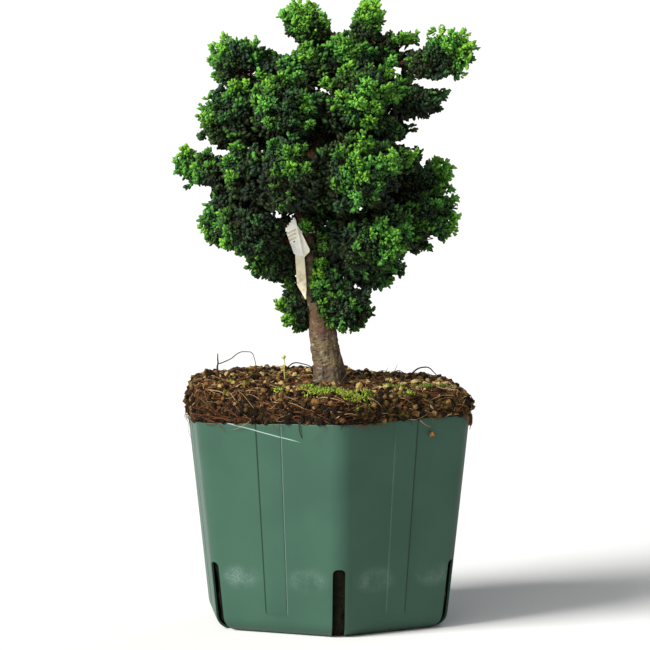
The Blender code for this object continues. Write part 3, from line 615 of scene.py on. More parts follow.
# Crumbs
# Crumbs of potting soil and of baked clay, brown, orange, tan and olive, darkened by painted shade down the
# root ball's side. They lie loose, half sunk in the root ball.

CRUMBS = 7500
# The least radius of a crumb, and how much more the largest has
CRUMB_RADIUS = (0.55 * MM, 1.9 * MM)
# The way over the ball from its rim to its middle, and the ways between which loose things are strewn
MIDDLE_WAY = 88 * MM
STREWN_WAYS = (0.5 * MM, 84 * MM)


def unit(vectors):
    """Each vector at length 1."""
    return vectors / np.linalg.norm(vectors, axis=-1, keepdims=True)


def repeated(faces, count, stride):
    """A shape's faces for each of its copies, whose points follow one another by the stride."""
    shift = (np.arange(count) * stride)[:, None, None]
    return (faces + shift).reshape(-1, faces.shape[1])


def copies(shape, faces, places, frames, sizes):
    """Copies of a small shape: place + (shape times size) turned by each copy's frame."""
    points = places[:, None] + (shape * sizes[:, None]) @ frames
    return points.reshape(-1, 3), [repeated(faces, len(places), len(shape))]


def random_frames(rng, count):
    """Frames turned at random: rows of three unit vectors, square to one another."""
    first = unit(rng.normal(size=(count, 3)))
    second = unit(np.cross(first, rng.normal(size=(count, 3))))
    return np.stack((first, second, np.cross(first, second)), axis=1)


def blob(rng, detail, low=0.72, high=1.15):
    """A lumpy closed ball: an icosphere with its points moved in and out at random."""
    mesh = bmesh.new()
    bmesh.ops.create_icosphere(mesh, subdivisions=detail, radius=1)
    points = np.array([vertex.co for vertex in mesh.verts])
    faces = np.array([[vertex.index for vertex in face.verts] for face in mesh.faces])
    mesh.free()
    return points * rng.uniform(low, high, (len(points), 1)), faces


def ball_sample(rng, count):
    """Directions and ways spread over the visible root ball. Ways are kept by chance, the less often the
    nearer to the middle, as the rings are shorter there."""
    turn = rng.uniform(-math.pi, math.pi, 3 * count)
    way = rng.uniform(*STREWN_WAYS, 3 * count)
    kept = rng.uniform(0, 1, 3 * count) < np.clip(1.08 - way / MIDDLE_WAY, 0, 1)
    return turn[kept][:count], way[kept][:count]


def matt(name, colour, roughness=0.9):
    """A plain matt colour with a fine rough grain."""
    finish = Finish(name, colour, roughness)
    finish.bump(finish.noise(700, 3), 0.4 * MM, 0.6)
    return finish


def shaded_slope_matt(name, colour):
    """A matt colour that painted shade makes darker low down, on the root ball's side."""
    finish = matt(name, colour)
    finish.feed({"Base Color": finish.mix(0.55 * slope_shade(finish), colour, SOIL_DARK)})
    return finish


rng = np.random.default_rng(11)
# Each crumb colour's share, and how far in from the rim its crumbs begin
crumb_finishes = (
    (0.42, 0, matt("soil_dark", SOIL_DARK)),
    (0.25, 0, shaded_slope_matt("soil_brown", SOIL_BROWN)),
    (0.14, 0, shaded_slope_matt("soil_orange", SOIL_ORANGE)),
    (0.10, 22 * MM, shaded_slope_matt("soil_tan", SOIL_TAN)),
    (0.09, 14 * MM, shaded_slope_matt("soil_olive", SOIL_OLIVE)),
)
for share, start, finish in crumb_finishes:
    turn, way = ball_sample(rng, round(CRUMBS * share))
    way = start + way * (1 - start / STREWN_WAYS[1])
    radius = CRUMB_RADIUS[0] + CRUMB_RADIUS[1] * rng.uniform(0, 1, len(turn)) ** 4
    sizes = radius[:, None] * rng.uniform(0.7, 1.3, (len(turn), 3))
    places = ball_skin(turn, way, 0.3 * radius)
    shape, faces = blob(rng, 1)
    points = copies(shape, faces, places, random_frames(rng, len(turn)), sizes)
    settle(skin("crumbs_" + finish.material.name, *points, finish, smooth=False), "soil")

# Fibres
# The plant's own fine roots, torn when it was potted, red, dark and straw-coloured. They lie tangled over
# the root ball. A few hang over the rim as a fringe, and one tuft hangs down at the right.

FIBRE_RED = (0.130, 0.046, 0.018)
FIBRE_STRAW = (0.34, 0.22, 0.11)
FIBRES = 2100
FIBRE_STATIONS = 7
FIBRE_LENGTH = (4 * MM, 20 * MM)
FIBRE_RADIUS = (0.13 * MM, 0.34 * MM)
FIBRE_ARCH = (0.2 * MM, 1.8 * MM)
FIBRE_LIFT = 0.4 * MM
FRINGE_SHARE = 0.012
FRINGE_WAY = 3 * MM
FRINGE_LENGTH = (4 * MM, 9 * MM)
TUFT_FIBRES = 16
TUFT_TURN_DEG = (-24, -12)
TUFT_WAY = 2 * MM
TUFT_LENGTH = (6 * MM, 10 * MM)
TUFT_ARCH = 0.5 * MM
TUFT_RADIUS = 0.3 * MM
# Tubes start their rings from this direction, which no path runs along
OFF_EVERY_PATH = np.array((0.31, 0.93, 0.19))


def tubes(paths, radii, sides):
    """Closed round tubes, one for each path, as one array of points and one of faces. Each ring is the
    circle centre + radius (across cos a + other sin a), square to the path; a point closes each end."""
    count, stations = paths.shape[:2]
    heading = unit(np.gradient(paths, axis=1))
    aside = np.cross(paths[:, -1] - paths[:, 0], OFF_EVERY_PATH)[:, None]
    across = unit(aside - heading * (aside * heading).sum(-1, keepdims=True))
    other = np.cross(heading, across)
    angle = (math.tau * np.arange(sides) / sides)[:, None]
    circle = np.cos(angle) * across[:, :, None] + np.sin(angle) * other[:, :, None]
    by_side = radii if radii.ndim == 3 else radii[..., None]
    rings = paths[:, :, None] + by_side[..., None] * circle
    points = np.concatenate((rings.reshape(count, -1, 3), paths[:, :1], paths[:, -1:]), axis=1)
    stride = points.shape[1]
    faces = [repeated(some, count, stride) for some in closed_faces(stations, sides)]
    return points.reshape(-1, 3), faces


def lying_paths(rng, turn, way, length, heading, lift):
    """Paths that follow the root ball. Each starts at a direction and way, runs at an angle to the rim,
    bends evenly, and arches off the surface as half a sine wave."""
    share = np.linspace(0, 1, FIBRE_STATIONS)
    angle = heading[:, None] + rng.normal(0, 1.0, (len(turn), 1)) * (share - 0.5)
    step = length[:, None] / (FIBRE_STATIONS - 1)
    side = rng.choice((-1, 1), (len(turn), 1))
    along = np.cumsum(np.cos(angle) * step, axis=1) * side
    inward = np.cumsum(np.sin(angle) * step, axis=1)
    ring = POT_RIM_HALF_FLATS * np.maximum(1.05 - way / MIDDLE_WAY, 0.15)
    arch = FIBRE_LIFT + lift[:, None] * np.sin(math.pi * share)
    return ball_skin(turn[:, None] + along / ring[:, None], way[:, None] + inward, arch)


fibre_finishes = (
    (0.55, matt("fibre_red", FIBRE_RED)),
    (0.25, matt("fibre_dark", SOIL_DARK)),
    (0.20, matt("fibre_straw", FIBRE_STRAW)),
)
for share, finish in fibre_finishes:
    turn, way = ball_sample(rng, round(FIBRES * share))
    heading = rng.normal(0, 0.5, len(turn)) + (way > 20 * MM) * rng.uniform(-1.5, 1.5, len(turn))
    fringe = rng.uniform(0, 1, len(turn)) < FRINGE_SHARE
    way = np.where(fringe, FRINGE_WAY, way)
    heading = np.where(fringe, rng.normal(-1.1, 0.3, len(turn)), heading)
    hanging = rng.uniform(*FRINGE_LENGTH, len(turn))
    length = np.where(fringe, hanging, rng.uniform(*FIBRE_LENGTH, len(turn)))
    paths = lying_paths(rng, turn, way, length, heading, rng.uniform(*FIBRE_ARCH, len(turn)))
    radii = rng.uniform(*FIBRE_RADIUS, (len(turn), 1)) * np.linspace(1, 0.5, paths.shape[1])
    settle(skin("fibres_" + finish.material.name, *tubes(paths, radii, 3), finish), "soil")

turn = np.radians(rng.uniform(*TUFT_TURN_DEG, TUFT_FIBRES))
length = rng.uniform(*TUFT_LENGTH, TUFT_FIBRES)
heading = rng.normal(-1.35, 0.2, TUFT_FIBRES)
way = np.full(TUFT_FIBRES, TUFT_WAY)
paths = lying_paths(rng, turn, way, length, heading, np.full(TUFT_FIBRES, TUFT_ARCH))
radii = np.full(paths.shape[:2], TUFT_RADIUS)
settle(skin("hanging_tuft", *tubes(paths, radii, 3), matt("fibre_tuft", FIBRE_RED)), "soil")

# Moss
# Short upright moss, rooted in the soil in ragged cushions, bright in front and deep green at the right.
# Each stalk is a small closed spike of eight faces.

MOSS_BRIGHT = (0.235, 0.310, 0.030)
MOSS_DEEP = (0.075, 0.130, 0.016)
# How many stalks a cushion has for each square millimetre of its radius squared
MOSS_CROWD = 3.4
MOSS_MOUND = 1.8 * MM
# The least and the largest stalk
MOSS_STALKS = ((0.34 * MM, 0.34 * MM, 1.5 * MM), (0.7 * MM, 0.7 * MM, 3.4 * MM))
# Each cushion's middle and radius, in millimetres
MOSS_CUSHIONS = (
    (12, -80, 11), (-3, -78, 9), (20, -86, 6), (4, -66, 11), (-10, -66, 6), (24, -72, 6), (-59, -36, 3),
    (-14, -58, 4), (40, -26, 5), (47, -44, 3), (62, -36, 6), (74, -24, 4), (52, -62, 3), (-30, -74, 3),
)


def ball_at(x, y):
    """The direction and way over the ball of the point above x and y."""
    turn = np.arctan2(y, x)
    outline = hexagon_reach(turn, POT_RIM_HALF_FLATS, POT_CORNER_RADIUS)
    inset = POT_RIM_HALF_FLATS * (1 - np.hypot(x, y) / outline)
    stations = np.array(BALL_PROFILE).T[:2, 2:] * MM
    return turn, np.interp(inset, stations[1], stations[0])


def standing_frames(rng, normals, spread):
    """Frames whose third axis leans at random about the given normals."""
    axis = unit(normals + rng.normal(0, spread, normals.shape))
    side = unit(np.cross(axis, rng.normal(size=axis.shape)))
    return np.stack((side, np.cross(axis, side), axis), axis=1)


moss_finishes = (matt("moss_bright", MOSS_BRIGHT), matt("moss_deep", MOSS_DEEP))
stalk = np.array(((1, 0, 0.2), (0, 1, 0.2), (-1, 0, 0.2), (0, -1, 0.2), (0, 0, -0.2), (0, 0, 1)), float)
stalk_faces = np.concatenate((fan_faces(0, 4, 5, False), fan_faces(0, 4, 4, True)))
cushions = np.array(MOSS_CUSHIONS) * MM
crowd = (MOSS_CROWD * (cushions[:, 2] / MM) ** 2).astype(int)
home = np.repeat(cushions, crowd, axis=0)
reach = np.sqrt(rng.uniform(0, 1, len(home)))
around = rng.uniform(0, math.tau, len(home))
ragged = 1 + 0.35 * np.sin(3 * around + home[:, 0] / MM) + 0.2 * np.sin(7 * around)
x = home[:, 0] + home[:, 2] * reach * ragged * np.cos(around)
y = home[:, 1] + home[:, 2] * reach * ragged * np.sin(around) * 0.8
turn, way = ball_at(x, y)
places = ball_skin(turn, way, MOSS_MOUND * (1 - reach**2))
frames = standing_frames(rng, ball_facts(turn, way)[1], 0.75)
sizes = rng.uniform(*MOSS_STALKS, (len(turn), 3))
bright = rng.uniform(0, 1, len(turn)) < np.interp(home[:, 0] / MM, (25, 45), (0.55, 0.1))
for finish, chosen in zip(moss_finishes, (bright, ~bright)):
    points = copies(stalk, stalk_faces, places[chosen], frames[chosen], sizes[chosen])
    settle(skin(finish.material.name, *points, finish), "soil")

# Grit, bits of bark, dead roots and a seedling
# Ochre grit grains, flat bits of bark, dead roots and twiglets, and one seedling. They lie on the root ball
# or are rooted in it, and one grain sticks to the pot.

GRAIN_OCHRE = (0.22, 0.125, 0.045)
# Each grain's direction in degrees, its way over the ball and its radius, in millimetres
GRAINS = (
    (-108.6, 17, 3.0), (-71, 13, 2.3), (-66.8, 1, 2.5), (-42, 4, 2.3), (-51, 10, 2.0), (-50.5, 5, 2.1),
    (-95, 12, 1.6), (-120, 20, 1.8), (-60, 21, 2.0), (-35, 12, 1.9), (-80, 24, 1.7), (-130, 12, 1.6),
    (60, 14, 2.4), (110, 9, 2.1), (150, 18, 2.3), (20, 16, 2.2), (-170, 10, 2.0), (85, 22, 1.8),
)
# The grain on the pot has its height in place of the way
STUCK_GRAIN = (-42.5, 124, 2.2)
LITTER_BROWN = (0.27, 0.19, 0.12)
# Where bits of bark lie in twos, how many more lie scattered, and how far out, in millimetres
LITTER_PLACES = ((-46, -20), (-41, -26), (-35, -22), (-38, -34), (24, -44), (58, 12), (-12, 48), (-62, 20))
LITTER_SCATTERED = 26
LITTER_REACH = 70
# The least and the largest bit
LITTER_SIZES = ((1.6 * MM, 0.7 * MM, 0.15 * MM), (3.8 * MM, 1.5 * MM, 0.35 * MM))
DEAD_BROWN = (0.035, 0.022, 0.014)
# Each dead root's or twiglet's radius and path, in millimetres
DEAD_ROOTS = (
    (0.75, ((-68, -5, 152), (-70, -5, 161), (-69.5, -5, 167), (-70.3, -4, 172))),
    (0.95, ((-67, -8, 151), (-63, -8, 159), (-57, -9, 162.5), (-51, -9, 160), (-47, -10, 152))),
    (0.35, ((-69, -5, 166), (-63, -5, 168), (-58, -4, 171.5), (-54, -4, 173.5), (-48.6, -4, 172.5),
            (-46, -5, 167.5), (-44.6, -6, 163), (-39.5, -7, 161), (-34, -8, 154))),
    (0.6, ((7, -26, 152), (12, -27, 160), (15, -28, 162.5))),
    (0.5, ((33, -22, 151), (38, -22, 159), (45, -23, 163), (49, -24, 161.5))),
    (0.45, ((44, -24, 151), (47, -23, 158), (46, -22, 163))),
    (0.7, ((-52, -52, 154), (-42, -55, 156.5), (-30, -56, 155.5), (-18, -58, 154))),
    (0.5, ((-46, -62, 152.5), (-34, -60, 156), (-22, -62, 154.5), (-10, -60, 153.5))),
    (0.45, ((-17, -84, 141), (-17.5, -88.5, 137), (-17, -89, 131), (-15.5, -88, 127))),
    (0.6, ((52, 30, 151), (58, 36, 158), (66, 38, 159), (72, 36, 153))),
    (0.35, ((12, -10, 152), (16, -10, 159), (20, -10, 162), (22, -11, 160))),
    (0.3, ((27, -14, 152), (32, -14, 160.5), (36, -14, 160), (39, -14, 164))),
    (0.3, ((38, -12, 152), (41, -12, 159), (43, -12, 161), (45, -13, 166))),
    (0.5, ((-30, 52, 153), (-22, 58, 160), (-12, 60, 158), (-6, 62, 152))),
)
SEEDLING_GREEN = (0.42, 0.44, 0.12)
SEEDLING = ((-27, 12, 152), (-27.6, 12, 160), (-27.2, 12, 164), (-27.9, 12, 168.5))
SEEDLING_RADIUS = 0.35 * MM
LEAFLETS = 9
LEAFLET_SIZE = (0.99 * MM, 0.72 * MM, 0.45 * MM)


def smooth_path(points, count):
    """Points evenly spread along a smooth curve through the given points, which may have any number of
    columns. Each span is a cubic, and the slope at a point is half the step between its neighbours."""
    points = np.array(points, float)
    padded = np.vstack((2 * points[0] - points[1], points, 2 * points[-1] - points[-2]))
    at = np.linspace(0, len(points) - 1, count)
    piece = np.minimum(at.astype(int), len(points) - 2)
    t = (at - piece)[:, None]
    a, b, c, d = (padded[piece + shift] for shift in range(4))
    return 0.5 * (2 * b + (c - a) * t + (2 * a - 5 * b + 4 * c - d) * t**2 + (3 * b - a - 3 * c + d) * t**3)


def drawn_twigs(rows, count, taper):
    """Smooth paths through rows of a radius and a path in millimetres, and their tapering radii."""
    paths = np.stack([smooth_path(path, count) for radius, path in rows]) * MM
    radii = np.array([radius for radius, path in rows])[:, None] * MM * np.linspace(*taper, count)
    return paths, radii


def wander(points, spacing, seed):
    """A smooth push between -1 and 1 along each axis, from noise taken at a place of its own."""
    return lattice_noise(points[..., None, :] + np.eye(3) * 0.05, spacing, seed)


turn, way, radius = np.array((*GRAINS, STUCK_GRAIN)).T * ((math.pi / 180,), (MM,), (MM,))
on_ball = ball_skin(turn[:-1], way[:-1], 0.35 * radius[:-1])
places = np.vstack((on_ball, pot_skin(turn[-1], way[-1], -0.8 * radius[-1], 0)))
shape, faces = blob(rng, 2, 0.8, 1.12)
sizes = radius[:, None] * rng.uniform(0.8, 1.1, (len(radius), 3))
grain_finish = Finish("grain_ochre", GRAIN_OCHRE, 0.85)
grain_finish.feed({"Base Color": grain_finish.patches(GRAIN_OCHRE, SOIL_BROWN, 420, 0.4, 0.62)})
grain_finish.bump(grain_finish.noise(1300, 3), 0.8 * MM, 0.8)
points = copies(shape, faces, places, random_frames(rng, len(radius)), sizes)
settle(skin("grit_grains", *points, grain_finish, smooth=False), "soil")

scattered = rng.uniform(-LITTER_REACH, LITTER_REACH, (LITTER_SCATTERED, 2))
middles = np.vstack((LITTER_PLACES, LITTER_PLACES, scattered)).T * MM
turn, way = ball_at(*(middles + rng.normal(0, 1.5 * MM, middles.shape)))
places = ball_skin(turn, way, 1.2 * MM)
sizes = rng.uniform(*LITTER_SIZES, (len(turn), 3))
frames = standing_frames(rng, ball_facts(turn, way)[1], 0.35)
shape, faces = blob(rng, 2, 0.8, 1.1)
litter = skin("bark_litter", *copies(shape, faces, places, frames, sizes), matt("litter", LITTER_BROWN))
settle(litter, "soil")

paths, radii = drawn_twigs(DEAD_ROOTS, 26, (1.1, 0.45))
paths += wander(paths, 4 * MM, 6) * 0.4 * MM
settle(skin("dead_roots", *tubes(paths, radii, 7), matt("dead_root", DEAD_BROWN)), "soil")

stem = smooth_path(SEEDLING, 12)[None] * MM
leaflets = stem[0, -1] + random_frames(rng, LEAFLETS)[:, 0] * MM
sizes = np.tile(LEAFLET_SIZE, (LEAFLETS, 1))
cap = copies(*blob(rng, 1), leaflets, random_frames(rng, LEAFLETS), sizes)
seedling_finish = matt("seedling_green", SEEDLING_GREEN, 0.7)
stalk_tube = tubes(stem, np.full(stem.shape[:2], SEEDLING_RADIUS), 6)
settle(skin("seedling_stem", *stalk_tube, seedling_finish), "soil")
settle(skin("seedling_cap", *cap, seedling_finish), "soil")

# Trunk and boughs
# One short leaning trunk, grown wood under thin flaking bark, rooted in the ball. The boughs grow out of it
# by the source's rule, each from a height where it stays clear of the others, and end where a mass begins.

# The trunk's stations and one more that is sunk in the ball: x, y, height and radius, in millimetres
TRUNK_FOOT = (2.2, 0, 147, 13.5)
TRUNK_STATIONS = (
    (1.6, 0, 153, 10.8), (1.2, 0, 158, 9.4), (-1.2, 1, 175, 8.7), (-4.5, 1, 202, 8.0), (-9.5, 0, 235, 6.8),
    (-11.8, -1, 268, 5.7), (-8, 0, 300, 4.5), (4, 2, 332, 3.3), (19, 2, 363, 2.0),
)
TRUNK_RINGS = 17
TRUNK_SIDES = 110
TRUNK_DRAWN_RINGS = 300
ROOT_LOBES = 5
ROOT_LOBE_DEPTH = 0.16
ROOT_LOBE_HEIGHT = 15 * MM
BOUGH_ROOT_RADIUS = 2.4 * MM
BOUGH_TO_TRUNK = 0.5
BOUGH_TIP_RADIUS = 1.2 * MM
BOUGH_RINGS = 5
BOUGH_DRAWN_RINGS = 30
# A bough swells at the bark by this share, which falls off over this length
BOUGH_COLLAR = (0.7, 2.5 * MM)
BOUGH_KNOBS = 0.12
BOUGH_WANDER = 0.5 * MM
BOUGH_LEAST_REACH = 19 * MM
BOUGH_ROOM = 0.5 * MM
BOUGH_ENTRY = 0.85
BOUGH_BEND_BACK = 0.45
BOUGH_SAG = 0.04
LIMB_CLIMB = 0.42
LIMB_LEVEL = 0.5
LIMB_LOWEST = 192 * MM
LIMB_SHIFT = 1 * MM
LIMB_SHIFTS = 45
LIMB_SWINGS = (0, 6 * MM, -6 * MM, 12 * MM, -12 * MM, 18 * MM, -18 * MM)
STEM_TIP_RADIUS = 0.6 * MM
STEM_TAPER = 0.8
STEM_INNER_REACH = 0.3
SPACES_APART = 0.94
CONTACT = 0.3 * MM
SLIGHTLY_BACK = np.array((0, 1e-4, 0))
LABEL_TOP = 255.5 * MM
LABEL_STRAP_WIDTH = 6.4 * MM
LABEL_TAIL_LENGTH = 26 * MM
LABEL_HEAD_LENGTH = 22 * MM
LABEL_CENTRE = (-21.5 * MM, -8.5 * MM)
LABEL_LEAN = 0.125
LABEL_ROOM = 5 * MM
LABEL_ROOM_IN_FRONT = 9 * MM
LOOP_RADII = (11 * MM, 10.6 * MM)
LOOP_HALF_WIDTH = LABEL_STRAP_WIDTH * 0.4
LOOP_HANGS_LEFT = 2 * MM
LOOP_BELOW_TOP = LABEL_HEAD_LENGTH * 0.35
LOOP_SEGMENTS = 20
BARK_GREY = (0.145, 0.103, 0.058)
BARK_OLIVE = (0.095, 0.078, 0.042)
BARK_PURPLE = (0.105, 0.068, 0.056)
BARK_RED = (0.085, 0.038, 0.022)
BARK_DARK = (0.030, 0.022, 0.014)
BARK_PALE = (0.300, 0.260, 0.190)
DEAD_TWIG_BROWN = (0.11, 0.085, 0.062)
# The heights between which the bark turns dark at its foot, with soil stains and painted shade, and red in
# a collar
BARK_DARK_FOOT = (0.178, 0.158)
BARK_COLLAR = ((0.190, 0.196), (0.214, 0.206))
# The depth of the bark's fissures and flakes and of its knots, as shares of the trunk's radius
BARK_RELIEF = 0.045
KNOT_RELIEF = 0.07
# Each broken twig's radius and path, in millimetres
STUBS = (
    (1.5, ((-8, 0, 206), (-13.5, -2, 207.5), (-16, -3, 209))),
    (1.3, ((-8, 2, 199), (-13, 0, 200), (-15, -1, 200.5))),
    (0.8, ((0, -3, 198), (5, -7, 201), (6, -8, 207), (5.2, -8, 212))),
)
# The masses of foliage: centre, and size along the limb, across it and thick, in millimetres. The order is
# the one in which they find room for their limbs
MASSES = {
    "top_right": ((25, 0, 383), (38, 28, 26)),
    "top_left": ((-16, 4, 384), (40, 32, 30)),
    "top_middle": ((14, -12, 364), (40, 40, 36)),
    "top_front": ((-10, -19, 354), (48, 48, 42)),
    "top_back": ((-4, 30, 358), (56, 54, 48)),
    "right_spike": ((42, 7, 368), (44, 30, 24)),
    "far_right": ((73, -4, 363), (57, 38, 38)),
    "left_top": ((-59, 4, 359), (46, 40, 42)),
    "left_top_inner": ((-34, 8, 344), (52, 54, 46)),
    "right_shoulder": ((54, 5, 337), (58, 48, 36)),
    "left_shoulder": ((-58, -6, 324), (56, 56, 60)),
    "front_upper_right": ((20, -42, 336), (60, 58, 54)),
    "front_upper_left": ((-25, -40, 330), (60, 58, 54)),
    "back_upper_right": ((34, 42, 326), (62, 60, 54)),
    "back_upper_left": ((-32, 44, 318), (62, 60, 54)),
    "front_right": ((33, -33, 300), (56, 52, 48)),
    "front_middle_right": ((19, -62, 290), (62, 60, 56)),
    "front_middle_left": ((-22, -60, 290), (62, 58, 54)),
    "back_middle": ((2, 62, 292), (66, 64, 58)),
    "left_low": ((-74, 1, 288), (62, 44, 34)),
    "right_low_top": ((57, 6, 286), (54, 50, 31)),
    "back_middle_right": ((46, 42, 280), (62, 60, 54)),
    "back_middle_left": ((-44, 46, 278), (62, 60, 54)),
    "front_left": ((-50, -40, 288), (56, 52, 48)),
    "right_low": ((61, -4, 261), (58, 56, 52)),
    "left_lower": ((-57, -2, 259), (56, 54, 50)),
    "low_inner": ((10, 13, 242), (40, 46, 50)),
    "front_low_right": ((29, -42, 251), (58, 56, 52)),
    "front_low_left": ((-49, -36, 256), (48, 46, 46)),
    "back_low_right": ((26, 38, 246), (60, 58, 54)),
    "back_low_left": ((-24, 38, 244), (60, 58, 54)),
    "left_skirt": ((-34, 2, 236), (46, 48, 42)),
    "right_lower": ((28, -3, 230), (48, 48, 44)),
    "bottom_right": ((13, -10, 206), (42, 44, 43)),
    "bottom_left": ((-18, 8, 204), (32, 38, 42)),
}


class Limb:
    """A tapering limb: its centre line and its radius along it."""

    def __init__(self, path, radii):
        self.path = np.array(path, float)
        self.radii = np.array(radii, float)

    def room(self, points):
        """How far each point lies outside the limb's bark, in metres."""
        start, span = self.path[:-1], np.diff(self.path, axis=0)
        offset = points[:, None, :] - start[None]
        share = np.clip((offset * span).sum(2) / (span**2).sum(1), 0, 1)
        nearest = start + share[..., None] * span
        bark = self.radii[:-1] + share * np.diff(self.radii)
        return (np.linalg.norm(points[:, None, :] - nearest, axis=2) - bark).min(1)

    def longer(self, stem):
        """The limb and the stem past its tip as one, to keep others clear of both."""
        return Limb(np.vstack((self.path, stem.path)), np.concatenate((self.radii, stem.radii)))

    def along(self, shares):
        """The points of the centre line and the radii at shares of the way from its root to its tip."""
        at = shares * (len(self.path) - 1)
        stations = np.arange(len(self.path))
        points = np.column_stack([np.interp(at, stations, column) for column in self.path.T])
        return points, np.interp(at, stations, self.radii)

    def drawn(self, count):
        """The limb's centre line and radius, side by side, as a smooth curve of many stations."""
        return smooth_path(np.column_stack((self.path, self.radii)), count)

    def room_to(self, other):
        """The least distance from this limb's bark, outside the trunk, to another limb's."""
        points, radii = self.along(np.linspace(0, 1, 120))
        outside = TRUNK.room(points) > -radii
        return (other.room(points[outside]) - radii[outside]).min()


def trunk_point(height):
    """The point of the trunk's centre line at a height."""
    return np.array([np.interp(height, TRUNK.path[:, 2], TRUNK.path[:, axis]) for axis in range(3)])


def trunk_radius(height):
    """The trunk's radius at a height."""
    return np.interp(height, TRUNK.path[:, 2], TRUNK.radii)


class Mass:
    """One mass of foliage: an ellipsoid of space, with walls between it and its neighbours."""

    def __init__(self, name, centre, size):
        self.name = name
        self.centre = np.array(centre) * MM
        self.half = np.array(size) * MM / 2
        self.walls = []

    def root_at(self, height, sideways):
        """Turns the mass to face away from the point of the trunk where its limb starts."""
        self.limb_root = trunk_point(height)
        heading = self.centre - self.limb_root
        heading[2] *= 1 - LIMB_LEVEL * min(1.0, np.hypot(heading[0], heading[1]) / BOUGH_LEAST_REACH)
        along = unit(heading)
        across = unit(np.cross(UP, along) + SLIGHTLY_BACK)
        self.frame = np.array((along, across, np.cross(along, across)))
        self.entry = self.centre - along * self.half[0] * BOUGH_ENTRY
        self.bough = bough_of(self, sideways)
        self.stem = stem_of(self)
        self.limb = self.bough.longer(self.stem) if self.bough else self.stem

    def find_root(self, limbs):
        """Roots the limb at the nearest height where it stays clear of the limbs so far, or swings it
        out."""
        out = np.hypot(*(self.centre - trunk_point(self.centre[2]))[:2])
        level = self.centre[2] - LIMB_CLIMB * out
        for sideways in LIMB_SWINGS:
            for shift in sorted(range(-LIMB_SHIFTS, LIMB_SHIFTS + 1), key=abs):
                self.root_at(np.clip(level + shift * LIMB_SHIFT, LIMB_LOWEST, TRUNK.path[-1, 2]), sideways)
                if all(self.limb.room_to(limb) > BOUGH_ROOM for limb in limbs):
                    return

    def support(self, direction):
        """How far the ellipsoid reaches from its centre along a direction."""
        return 1 / np.linalg.norm(self.frame @ direction / self.half)

    def meet(self, other):
        """Puts a flat wall between two spaces that overlap, nearer to the smaller one."""
        line = other.centre - self.centre
        gap = np.linalg.norm(line)
        line = line / gap
        mine, theirs = self.support(line), other.support(line)
        if mine + theirs + CONTACT < gap * SPACES_APART:
            return
        at = gap * mine / (mine + theirs)
        self.walls.append((line, line @ self.centre + at - CONTACT))
        other.walls.append((-line, -(line @ self.centre) - at - CONTACT))

    def holds(self, points, share, past_walls):
        """Which points lie in the mass's own space, scaled by the share, or a little past its walls."""
        inside = np.linalg.norm((points - self.centre) @ self.frame.T / self.half, axis=1) <= share
        for normal, far in self.walls:
            inside &= points @ normal <= far + past_walls
        return inside


def bough_of(mass, sideways):
    """The limb that carries a mass, or None where the mass's own stem reaches the trunk."""
    start, end = mass.limb_root, mass.entry
    reach = np.linalg.norm(end - start)
    if reach - TRUNK.radii[0] < BOUGH_LEAST_REACH:
        return None
    back = mass.frame[0] * BOUGH_BEND_BACK + UP * BOUGH_SAG
    bend = end - reach * back + mass.frame[1] * sideways
    thick = min(BOUGH_ROOT_RADIUS, BOUGH_TO_TRUNK * trunk_radius(start[2]))
    radii = np.linspace(thick, BOUGH_TIP_RADIUS, BOUGH_RINGS)
    return Limb(smooth_path((start, bend, end), BOUGH_RINGS), radii)


def stem_of(mass):
    """The mass's stem: on from its bough's tip, or from the trunk, to well inside the mass."""
    end = mass.centre + mass.frame[0] * mass.half[0] * STEM_INNER_REACH
    if mass.bough is None:
        radius = min(BOUGH_TIP_RADIUS, BOUGH_TO_TRUNK * trunk_radius(mass.limb_root[2]))
        return Limb((mass.limb_root, mass.entry, end), (radius, radius, STEM_TIP_RADIUS))
    start = mass.bough.path[-1] + unit(mass.bough.path[-1] - mass.bough.path[-2]) * CONTACT
    radii = (BOUGH_TIP_RADIUS, BOUGH_TIP_RADIUS * STEM_TAPER, STEM_TIP_RADIUS)
    return Limb((start, mass.centre, end), radii)


def loop_ring(inset, height, segments=LOOP_SEGMENTS):
    """The label's loop round the trunk at a height, moved inwards by inset."""
    middle = trunk_point(LABEL_TOP - LOOP_BELOW_TOP)
    angle = math.tau * np.arange(segments) / segments
    x = middle[0] - LOOP_HANGS_LEFT + (LOOP_RADII[0] - inset) * np.cos(angle)
    y = middle[1] + (LOOP_RADII[1] - inset) * np.sin(angle)
    return np.column_stack((x, y, np.full(segments, height)))


def label_limbs():
    """The room that the label takes, as limbs that the plant keeps clear of: its tag, the space in front
    of the tag, from where it is read, and its loop."""
    x, y = LABEL_CENTRE
    drops = np.linspace(-3 * MM, LABEL_HEAD_LENGTH + LABEL_TAIL_LENGTH, 4)
    tag = np.array([(x + LABEL_LEAN * drop, y, LABEL_TOP - drop) for drop in drops])
    view = tag - (0, LABEL_ROOM_IN_FRONT, 0)
    widths = [LABEL_ROOM] * len(tag)
    loop = loop_ring(0, LABEL_TOP - LOOP_BELOW_TOP)
    closed = np.vstack((loop, loop[:1]))
    return [Limb(tag, widths), Limb(view, widths), Limb(closed, [LOOP_HALF_WIDTH] * len(closed))]


